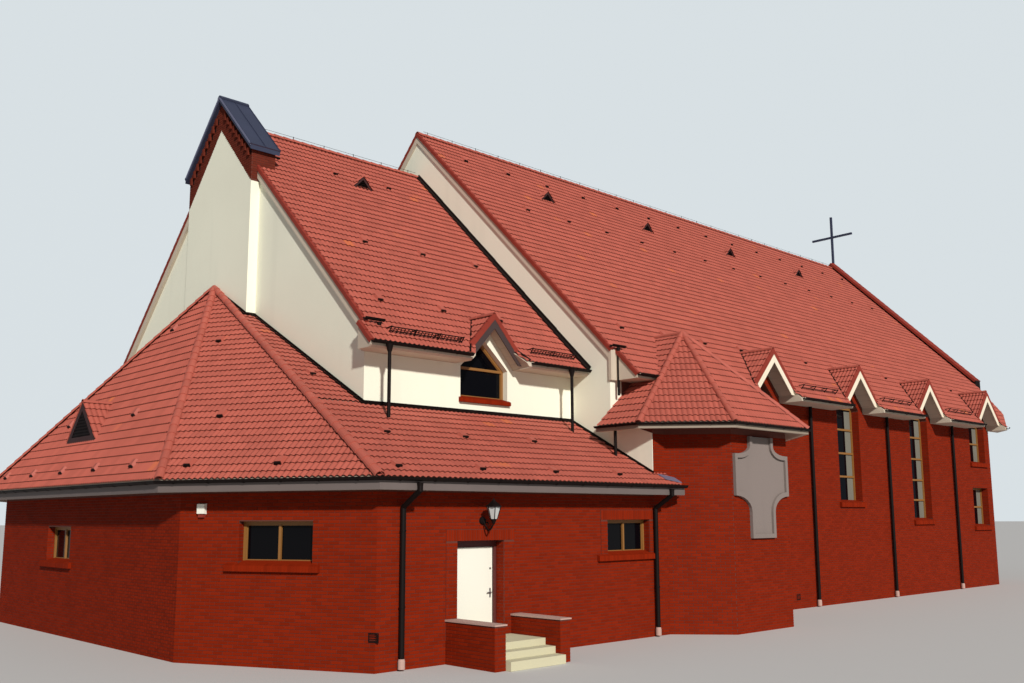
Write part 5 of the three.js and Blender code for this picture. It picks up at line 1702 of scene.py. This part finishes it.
def lantern(south):
    """A six-sided lantern on a scrolled arm."""
    x, out, bottom, top = LANTERN
    metal, glass = Shape(), Shape()
    y = -(south + out)
    plate_z, rise, dip = bottom + 0.06, 0.06, 0.19
    metal.tube([(x, -south - 0.008, plate_z), (x, -south - 0.05, plate_z)], [0.1, 0.08], 18)
    arm = [
        (x, -south - 0.04 - (out - 0.04) * t, plate_z - rise * t - dip * math.sin(math.pi * t))
        for t in np.linspace(0, 1, 12)
    ]
    metal.tube(arm, 0.018, 8)
    curl = [
        (x, -south - 0.16 - 0.06 * math.cos(t), bottom - 0.04 + 0.06 * math.sin(t))
        for t in np.linspace(0, 5.2, 14)
    ]
    metal.tube(curl, 0.012, 6)
    metal.tube([(x, y, bottom - 0.02), (x, y, bottom + 0.1)], [0.025, 0.075], 10)

    def hexagon(radius, z):
        return [Vector((u, v, z)) for u, v in arc((x, y), (radius, radius), 0, 300, 5)]

    low, high = hexagon(0.085, bottom + 0.1), hexagon(0.165, top - 0.18)
    faces = [(i, (i + 1) % 6, 6 + (i + 1) % 6, 6 + i) for i in range(6)]
    glass.add(low + high, [*faces, tuple(range(5, -1, -1)), tuple(range(6, 12))])
    for a, b in zip(low, high):
        metal.tube([a, b], 0.011, 5)
    roof = [(x, y, top - drop) for drop in (0.18, 0.155, 0.06, 0.03)]
    metal.tube(roof, [0.21, 0.205, 0.07, 0.045], 6)
    metal.tube([(x, y, top - 0.03), (x, y, top + 0.03)], [0.025, 0.008], 8)
    metal.build("lantern_metal", *METAL, replaces=["wall_lantern"])
    glass.build("lantern_panes", "lantern glass", "glass", replaces=["wall_lantern"])


def door_fittings():
    """A lever, its plate and a lock on the leaf, which turn with it."""
    metal = Shape()
    x, z, face_y = HANDLE
    face = hall_face(SOUTH, face_y)
    metal.box(face, (x - 0.022, x + 0.022), (z - 0.12, z + 0.1), (0.0, 0.008), taper=0.002)
    metal.tube([(x, -face_y, z), (x, -face_y - 0.052, z)], 0.0125, 10)
    metal.tube([(x + 0.014, -face_y - 0.05, z), (x - 0.125, -face_y - 0.05, z)], 0.0125, 10)
    metal.tube([(x, -face_y, z + 0.55), (x, -face_y - 0.012, z + 0.55)], 0.026, 16)
    metal.build("door_handle", "steel", "gutter_metal", body="entrance_door")
    panel = Shape()
    outer = rectangle(DOOR[0] + LEAF_EDGE, DOOR[1] - LEAF_EDGE, FLOOR + 0.02, LEAF_TOP)
    panel.ring(face, outer, inset(outer, 0.012), 0.0, 0.004)
    panel.build("door_edge", "door paint", "door_paint", body="entrance_door")


def wall_fittings():
    """A sensor box near the corner, two vent grilles and the metal apron at the annex roof's end."""
    wall = annex_wall(1)
    for name, look, u, z, deep, taper in (
        ("sensor_box", ("door paint", "door_paint"), (0.5, 0.72), (3.28, 3.52), 0.09, 0.012),
        ("sensor_lamp", VERGE_TILES, (0.53, 0.69), (3.2, 3.285), 0.075, 0.01),
    ):
        part = Shape()
        part.box(wall, u, z, (0.0, deep), taper=taper)
        part.build(name, *look)
    grilles = Shape()
    for face, u, z in ((hall_face(SOUTH, NAVE_HALF), 9.55, 0.3), (wall, 4.9, 0.62)):
        outer = rectangle(u, u + 0.24, z, z + 0.2)
        grilles.ring(face, outer, inset(outer, 0.02), 0.0, 0.014)
        for k in range(4):
            low = z + 0.025 + k * 0.042
            grilles.box(face, (u + 0.02, u + 0.22), (low, low + 0.02), (0.0, 0.012))
    grilles.build("wall_grilles", *METAL)
    width = annex_eave()[0].x - annex_eave()[1].x
    near, far = width - 0.5, width - 0.02
    apron = Shape()
    apron.slab(annex_roof_face(0), [(near, 0.32), (far, 0.1), (far, 0.4), (near, 0.6)], 0.055, 0.08)
    apron.build("roof_end_apron", "edge metal", "sheet_metal")


# Settings, operators and the panel


def colour_setting(name, owner, value):
    return FloatVectorProperty(
        name=name, description="Colour of " + owner, subtype="COLOR", size=3, min=0.0, max=1.0,
        default=paint(*value),
    )


def length_setting(name, description, value):
    return FloatProperty(name=name, description=description, default=value, min=0.001, unit="LENGTH")


class ChurchSettings(bpy.types.PropertyGroup):
    tile_course: length_setting("Tile course", "Visible height of a row of roof tiles", 0.324)
    tile_wave: length_setting("Tile wave", "Distance between two rolls of the roof tiles", 0.15)
    brick_length: length_setting("Brick length", "Visible length of a brick", 0.25)
    brick_height: length_setting("Brick height", "Visible height of a brick", 0.065)
    joint: length_setting("Joint", "Width of the mortar joints", 0.01)
    tile: colour_setting("Tile", "the roof tiles", (170, 87, 72))
    verge: colour_setting("Verge", "the tiles along the free edges of the roofs", (132, 50, 38))
    brick: colour_setting("Brick", "the bricks", (121, 30, 5))
    dull_brick: colour_setting("Bell gable brick", "the bricks of the bell gable", (96, 40, 28))
    mortar: colour_setting("Mortar", "the mortar", (92, 40, 26))
    plaster: colour_setting("Plaster", "the plastered walls", (234, 233, 212))
    jamb: colour_setting("Inner jamb", "the jamb behind the tall windows", (130, 128, 116))
    render: colour_setting("Render", "the raised panel on the side bays", (124, 112, 106))
    steps: colour_setting("Steps", "the entrance steps", (193, 187, 156))
    coping: colour_setting("Coping", "the copings beside the steps", (178, 146, 134))
    screed: colour_setting("Floor", "the floors inside", (150, 142, 130))
    soffit: colour_setting("Soffit", "the boards under the eaves", (196, 182, 162))
    fascia: colour_setting("Fascia", "the boards behind the gutters", (99, 88, 84))
    bay_board: colour_setting("Bay board", "the boards under the bays' eaves", (138, 124, 108))
    cream: colour_setting("Gablet board", "the boards of the window gablets", (226, 214, 190))
    gutter: colour_setting("Gutter", "gutters and downpipes", (19, 11, 9))
    sheet: colour_setting("Sheet metal", "the bell gable's roof", (60, 65, 86))
    edge: colour_setting("Edge metal", "bare metal trim on the roofs", (118, 120, 144))
    window_frame: colour_setting("Window frame", "the window frames", (132, 90, 42))
    door: colour_setting("Door", "the door", (230, 228, 213))
    door_frame: colour_setting("Door frame", "the door's frame", (84, 34, 30))
    dark_board: colour_setting("Dark board", "the boards on the chancel's gablets", (58, 42, 40))
    sun: FloatProperty(name="Sun", description="Strength of the main light", default=4.0, min=0.0)
    sky: FloatProperty(name="Sky", description="Strength of the soft light all round", default=0.22, min=0.0)


class ChurchOperator:
    bl_options = {"REGISTER", "UNDO"}

    def execute(self, context):
        if not frame["nodes"]:
            raise RuntimeError("The packed model has no parts")
        self.make(context.scene.church)
        return {"FINISHED"}


def dress(material, *names):
    """Gives CAD parts one of the materials."""
    for name in names:
        node = frame["nodes"][name]
        node.data.materials.clear()
        node.data.materials.append(MATERIALS[material])


class CHURCH_OT_materials(ChurchOperator, bpy.types.Operator):
    """Make the materials and give them to the plain parts"""

    bl_idname = "church.materials"
    bl_label = "Materials"

    def make(self, settings):
        make_materials(settings)
        nodes = frame["nodes"]
        for name in nodes:
            if "roof" in name:
                dress("soffit board", name)
            elif "wall" in name or "head" in name:
                dress("mortar", name)
        dress("wall plaster", "chancel_gable_wall", "nave_east_gable_wall")
        dress("wall plaster", "chancel_wall_south", "chancel_wall_north")
        # The far gable's parapet takes the near-black gutter metal as painted shade for its dark shaded end;
        # the lantern is black metal
        dress("dark gutter metal", "west_parapet", "wall_lantern")
        dress("sheet metal", "bell_gable_roof", "roof_cross")
        dress("floor screed", "hall_floor", "annex_floor")
        dress("cement render", "bay_panel_south", "bay_panel_north")
        dress("cast stone", "door_steps")
        dress("dark gutter metal", *[name for name in nodes if "gutter" in name])
        dress("window glass", *[name for name in nodes if "window" in name])
        dress("door frame", "door_frame")
        dress("door paint", "door_leaf")


class CHURCH_OT_bricks(ChurchOperator, bpy.types.Operator):
    """Lay the bricks of the walls"""

    bl_idname = "church.bricks"
    bl_label = "Brickwork"

    def make(self, settings):
        for side, name in SIDES:
            nave_bricks(side, settings).build("nave_bricks_" + name, *BRICKS)
            bay_bricks(side, settings).build("bay_bricks_" + name, *BRICKS)
        for i, name in enumerate(ANNEX_NAMES):
            annex_bricks(i, settings).build("annex_bricks_" + name, *BRICKS)
        end_wall_bricks(settings).build("far_gable_bricks", *BRICKS)


class CHURCH_OT_tiles(ChurchOperator, bpy.types.Operator):
    """Lay the tiles of every roof"""

    bl_idname = "church.tiles"
    bl_label = "Roof tiles"

    def make(self, settings):
        for side, name in SIDES:
            self.hall(side, name, settings)
            self.bay(side, name, settings)
        self.annex(settings)
        self.ridges()

    def hall(self, side, name, settings):
        gablets = nave_gablets(side)
        shape = Shape()
        face = hall_slope(side, *NAVE, NAVE_VERGE_X)
        plans = [on_side(side, plan) for plan in nave_plans()]
        tile_slope(shape, face, plans, settings, gablets)
        for gablet in gablets:
            tile_slope(shape, face, gablet.aprons(NAVE_EAVE), settings)
        shape.build("nave_tiles_" + name, *TILES)
        small = Shape()
        for gablet in [*gablets, chancel_gablet(side)]:
            for face, plan, cuts in gablet.slopes():
                tile_slope(small, face, [plan], settings, cuts=cuts)
        small.build("gablet_tiles_" + name, *TILES)
        shape = Shape()
        face = hall_slope(side, *CHANCEL, CHANCEL_VERGE_X)
        plans = [on_side(side, plan) for plan in chancel_plans()]
        tile_slope(shape, face, plans, settings, [chancel_gablet(side)])
        tile_slope(shape, face, chancel_gablet(side).aprons(CHANCEL_EAVE), settings)
        shape.build("chancel_tiles_" + name, *TILES)

    def bay(self, side, name, settings):
        shape = Shape()
        apex = Vector((BAY_APEX[0], side * BAY_APEX[1], BAY_APEX[2]))
        back, eave_side = side * BAY_ROOF_BACK, side * NAVE_HALF
        rim = [(BAY_RIM[0][0], back), *on_side(side, BAY_RIM), (BAY_RIM[-1][0], back)]
        behind = ((0, 0, NAVE_RIDGE - 0.05), (0, -side * NAVE_SLOPE, -1))
        for i, pair in enumerate(zip(rim, rim[1:])):
            face = rising_face(*turned(side, pair), BAY_EAVE_Z, apex)
            plan = [*turned(side, pair), tuple(apex.xy)]
            if i in (0, 4):
                near = rim[1] if i == 0 else rim[4]
                plan = [(near[0], eave_side), near, tuple(apex.xy), (apex.x, eave_side)]
                upper = [(near[0], back), (near[0], eave_side), (apex.x, eave_side), (apex.x, back)]
                tile_slope(shape, face, [upper], settings, cuts=[behind])
            tile_slope(shape, face, [plan], settings)
        shape.build("bay_tiles_" + name, *TILES)
        shape = Shape()
        for x, y in BAY_RIM:
            ridge_tiles(shape, (x, side * y, BAY_EAVE_Z + 0.03), apex + Z * 0.03, 0.1)
        ridge_tiles(shape, (apex.x, side * (NAVE_RIDGE - BAY_APEX[2]) / NAVE_SLOPE, apex.z), apex, 0.1)
        shape.build("bay_ridge_tiles_" + name, *RIDGE_TILES)

    def annex(self, settings):
        corners = annex_eave()
        apex = ANNEX_APEX
        hip = plan_cuts([tuple(corners[1]), (5.0, corners[1].y), (5.0, 0.0), tuple(apex.xy)])[3]
        for i, name in enumerate(ANNEX_NAMES):
            shape = Shape()
            face = annex_roof_face(i)
            if i in (0, 4):
                side = SOUTH if i == 0 else NORTH
                plans = [on_side(side, plan) for plan in self.annex_side_plans()]
                cuts = [tuple((x, y * -side, 0) for x, y, _ in hip)]
                tile_slope(shape, face, plans, settings, cuts=cuts)
            else:
                plan = [tuple(corners[i]), tuple(corners[i + 1]), tuple(apex.xy)]
                tile_slope(shape, face, [plan], settings, closer=ANNEX_COURSES[i])
            shape.build("annex_tiles_" + name, *TILES)
        shape = Shape()
        for corner in corners[1:-1]:
            ridge_tiles(shape, (*corner, ANNEX_EAVE_Z + 0.04), apex + Z * 0.04)
        shape.build("annex_hip_tiles", *RIDGE_TILES)

    def annex_side_plans(self):
        """The south face in convex pieces, clear of the bay, the chancel and the bell gable."""
        far = ANNEX_CORNERS[2][0] - 1
        steps = [
            (ANNEX_END_X, ANNEX_CORNERS[-1][1] + ANNEX_OVERHANG, BAY_WALL[0][1]),
            (0.0, BAY_WALL[0][1], CHANCEL_HALF),
            (CHANCEL_FACE, CHANCEL_HALF, PYLON_HALF),
            (PYLON_X[0], PYLON_HALF, 0.0),
        ]
        return [[(far, outer), (x, outer), (x, inner), (far, inner)] for x, outer, inner in steps]

    def ridges(self):
        shape = Shape()
        ridge_tiles(shape, (NAVE_VERGE_X, 0, NAVE_RIDGE), (PARAPET_X[0], 0, NAVE_RIDGE))
        ridge_tiles(shape, (PYLON_X[1], 0, CHANCEL_RIDGE), (0, 0, CHANCEL_RIDGE))
        for side, _ in SIDES:
            for gablet in [*nave_gablets(side), chancel_gablet(side)]:
                top = gablet.apex
                ends = [(gablet.at, side * y, top) for y in (gablet.front, gablet.back(top))]
                ridge_tiles(shape, *ends, 0.1)
        shape.build("ridge_tiles", *RIDGE_TILES)


class CHURCH_OT_windows(ChurchOperator, bpy.types.Operator):
    """Build the windows with their frames and bars"""

    bl_idname = "church.windows"
    bl_label = "Windows"

    def make(self, settings):
        for side, name in SIDES:
            glazed_pieces("nave_" + name, nave_window_jobs(side), ["nave_windows_" + name])
            u = -side * CHANCEL_GABLET[0]
            half, sill, spring, apex = CHANCEL_WINDOW
            outline = pointed(u, half, sill, spring, apex)
            job = (hall_face(side, CHANCEL_HALF), outline, RECESS, (), (spring - 0.02,), {})
            glazed_pieces("chancel_" + name, [job], ["chancel_window_" + name])
            sill_row = Shape()
            brick_sill(sill_row, job[0], u - half, u + half, sill, settings, over=(0.06, 0.06), low=0.13)
            sill_row.build("chancel_sill_" + name, *BRICKS)
        glazed_pieces("far_gable", west_window_jobs(), ["west_windows"])
        glazed_pieces("annex_east", annex_window_jobs((1, 2, 3)), ["annex_windows_east"])
        glazed_pieces("annex_south", annex_window_jobs((0,)), ["annex_window_south"])
        glazed_pieces("annex_north", annex_window_jobs((4,)), ["annex_windows_north"])


class CHURCH_OT_trim(ChurchOperator, bpy.types.Operator):
    """Finish the roofs with verges, boards, flashings and small fittings"""

    bl_idname = "church.trim"
    bl_label = "Roof trim"

    def make(self, settings):
        for side, name in SIDES:
            cream, dark, red = gablet_boards(side)
            cream.build("gablet_boards_" + name, "cream board", "plaster")
            dark.build("chancel_gablet_board_" + name, "dark board", "gutter_metal")
            verges(red, side)
            red.build("verge_tiles_" + name, *VERGE_TILES)
        cap = Shape()
        parapet_cap(cap)
        cap.build("parapet_cap", *VERGE_TILES)
        flashings().build("roof_flashings", *METAL)
        roof_fittings(settings)
        wire = Shape()
        conductor(wire)
        wire.build("ridge_wire", *METAL)


class CHURCH_OT_rainwater(ChurchOperator, bpy.types.Operator):
    """Hang the gutters and downpipes"""

    bl_idname = "church.rainwater"
    bl_label = "Gutters and downpipes"

    def make(self, settings):
        for side, name in SIDES:
            rainwater(side, name).build("nave_pipe_shoes_" + name, *COPING)
            pipes, boards = bay_trim(side)
            pipes.build("bay_gutter_" + name, *METAL)
            boards.build("bay_fascia_" + name, "bay board", "plaster")
        annex_rainwater().build("annex_pipe_shoes", *COPING)


class CHURCH_OT_bell_gable(ChurchOperator, bpy.types.Operator):
    """Build the head and the metal roof of the bell gable"""

    bl_idname = "church.bell_gable"
    bl_label = "Bell gable"

    def make(self, settings):
        bell_gable_bricks(settings)
        bell_gable_roof()


class CHURCH_OT_bay_details(ChurchOperator, bpy.types.Operator):
    """Build the raised panels and the plastered sides of the bays"""

    bl_idname = "church.bay_details"
    bl_label = "Side bays"

    def make(self, settings):
        for side, name in SIDES:
            panel = ["bay_panel_" + name]
            bay_panel(side).build("bay_relief_" + name, "cement render", "cement_render", replaces=panel)
            bay_cheek(side).build("bay_cheek_" + name, "wall plaster", "plaster")


class CHURCH_OT_entrance(ChurchOperator, bpy.types.Operator):
    """Build the steps, the lantern, the door's fittings and the things on the walls"""

    bl_idname = "church.entrance"
    bl_label = "Entrance"

    def make(self, settings):
        entrance(settings)
        wall_fittings()


class CHURCH_OT_stage(ChurchOperator, bpy.types.Operator):
    """Put the floor, the lights and the camera in place"""

    bl_idname = "church.stage"
    bl_label = "Floor, lights and camera"

    def make(self, settings):
        scene = bpy.context.scene
        scene.view_settings.view_transform = "Standard"
        self.floor(scene)
        self.backdrop(scene)
        self.lights(scene, settings)
        self.camera(scene)

    def floor(self, scene):
        mesh = bpy.data.meshes.new("floor")
        corners = rectangle(-FLOOR_REACH, FLOOR_REACH, -FLOOR_REACH, FLOOR_REACH)
        mesh.from_pydata([(*corner, 0) for corner in corners], [], [(0, 1, 2, 3)])
        tree = Tree("studio floor")
        tree.finish(Base_Color=FLOOR_COLOUR, Roughness=0.9)
        mesh.materials.append(tree.material)
        floor = bpy.data.objects.new("studio_floor", mesh)
        scene.collection.objects.link(floor)

    def backdrop(self, scene):
        """A pale dome that only the camera sees."""
        mesh = bpy.data.meshes.new("backdrop")
        ball = bmesh.new()
        bmesh.ops.create_uvsphere(ball, u_segments=48, v_segments=24, radius=BACKDROP_REACH)
        ball.to_mesh(mesh)
        ball.free()
        tree = Tree("studio backdrop")
        tree.finish(Base_Color=(0.0, 0.0, 0.0), Roughness=1.0)
        tree.shader.inputs["Emission Color"].default_value = (*BACKDROP_COLOUR, 1)
        tree.shader.inputs["Emission Strength"].default_value = 1.0
        mesh.materials.append(tree.material)
        dome = bpy.data.objects.new("studio_backdrop", mesh)
        for kind in ("diffuse", "glossy", "transmission", "shadow", "volume_scatter"):
            setattr(dome, "visible_" + kind, False)
        scene.collection.objects.link(dome)

    def lights(self, scene, settings):
        sun = bpy.data.lights.new("sun", "SUN")
        sun.energy = settings.sun
        sun.angle = math.radians(SUN_ANGLE)
        sun.color = SUN_COLOUR
        lamp = bpy.data.objects.new("sun", sun)
        lamp.rotation_mode = "QUATERNION"
        lamp.rotation_quaternion = SUN_DIRECTION.to_track_quat("-Z", "Y")
        scene.collection.objects.link(lamp)
        world = bpy.data.worlds.new("studio")
        world.use_nodes = True
        background = world.node_tree.nodes["Background"]
        background.inputs["Color"].default_value = (*SKY_COLOUR, 1)
        background.inputs["Strength"].default_value = settings.sky
        scene.world = world

    def camera(self, scene):
        data = bpy.data.cameras.new("camera")
        data.sensor_width = SENSOR
        data.lens = FOCAL_PIXELS / PICTURE[0] * SENSOR
        data.shift_x = (PICTURE[0] / 2 - PRINCIPAL[0]) / PICTURE[0]
        data.shift_y = (PRINCIPAL[1] - PICTURE[1] / 2) / PICTURE[0]
        data.clip_end = 1000
        turn, tilt, roll = (math.radians(a) for a in (CAMERA_YAW, CAMERA_PITCH, CAMERA_ROLL))
        right = Vector((math.cos(turn), -math.sin(turn), 0))
        ahead = Vector((math.sin(turn) * math.cos(tilt), math.cos(turn) * math.cos(tilt), math.sin(tilt)))
        up = right.cross(ahead)
        side = right * math.cos(roll) + up * math.sin(roll)
        top = up * math.cos(roll) - right * math.sin(roll)
        camera = bpy.data.objects.new("camera", data)
        place = Matrix((side, top, -ahead)).transposed().to_4x4()
        place.translation = Vector(CAMERA_PLACE) * SCALE + Vector((SHIFT, 0, 0))
        camera.matrix_world = place
        scene.collection.objects.link(camera)
        scene.camera = camera


OPERATORS = (
    CHURCH_OT_materials,
    CHURCH_OT_bricks,
    CHURCH_OT_tiles,
    CHURCH_OT_windows,
    CHURCH_OT_trim,
    CHURCH_OT_rainwater,
    CHURCH_OT_bell_gable,
    CHURCH_OT_bay_details,
    CHURCH_OT_entrance,
    CHURCH_OT_stage,
)


class CHURCH_PT_panel(bpy.types.Panel):
    """Settings and steps of the church building"""

    bl_label = "Church"
    bl_idname = "CHURCH_PT_panel"
    bl_space_type = "VIEW_3D"
    bl_region_type = "UI"
    bl_category = "Church"

    def draw(self, context):
        settings = context.scene.church
        for name in settings.bl_rna.properties.keys():
            if name not in ("rna_type", "name"):
                self.layout.prop(settings, name)
        for operator in OPERATORS:
            self.layout.operator(operator.bl_idname)


def register():
    for kind in (ChurchSettings, *OPERATORS, CHURCH_PT_panel):
        bpy.utils.register_class(kind)
    bpy.types.Scene.church = PointerProperty(type=ChurchSettings)


def unregister():
    del bpy.types.Scene.church
    for kind in (CHURCH_PT_panel, *OPERATORS[::-1], ChurchSettings):
        bpy.utils.unregister_class(kind)


def main():
    register()
    for operator in OPERATORS:
        group, action = operator.bl_idname.split(".")
        getattr(getattr(bpy.ops, group), action)()


if __name__ == "__main__":
    main()
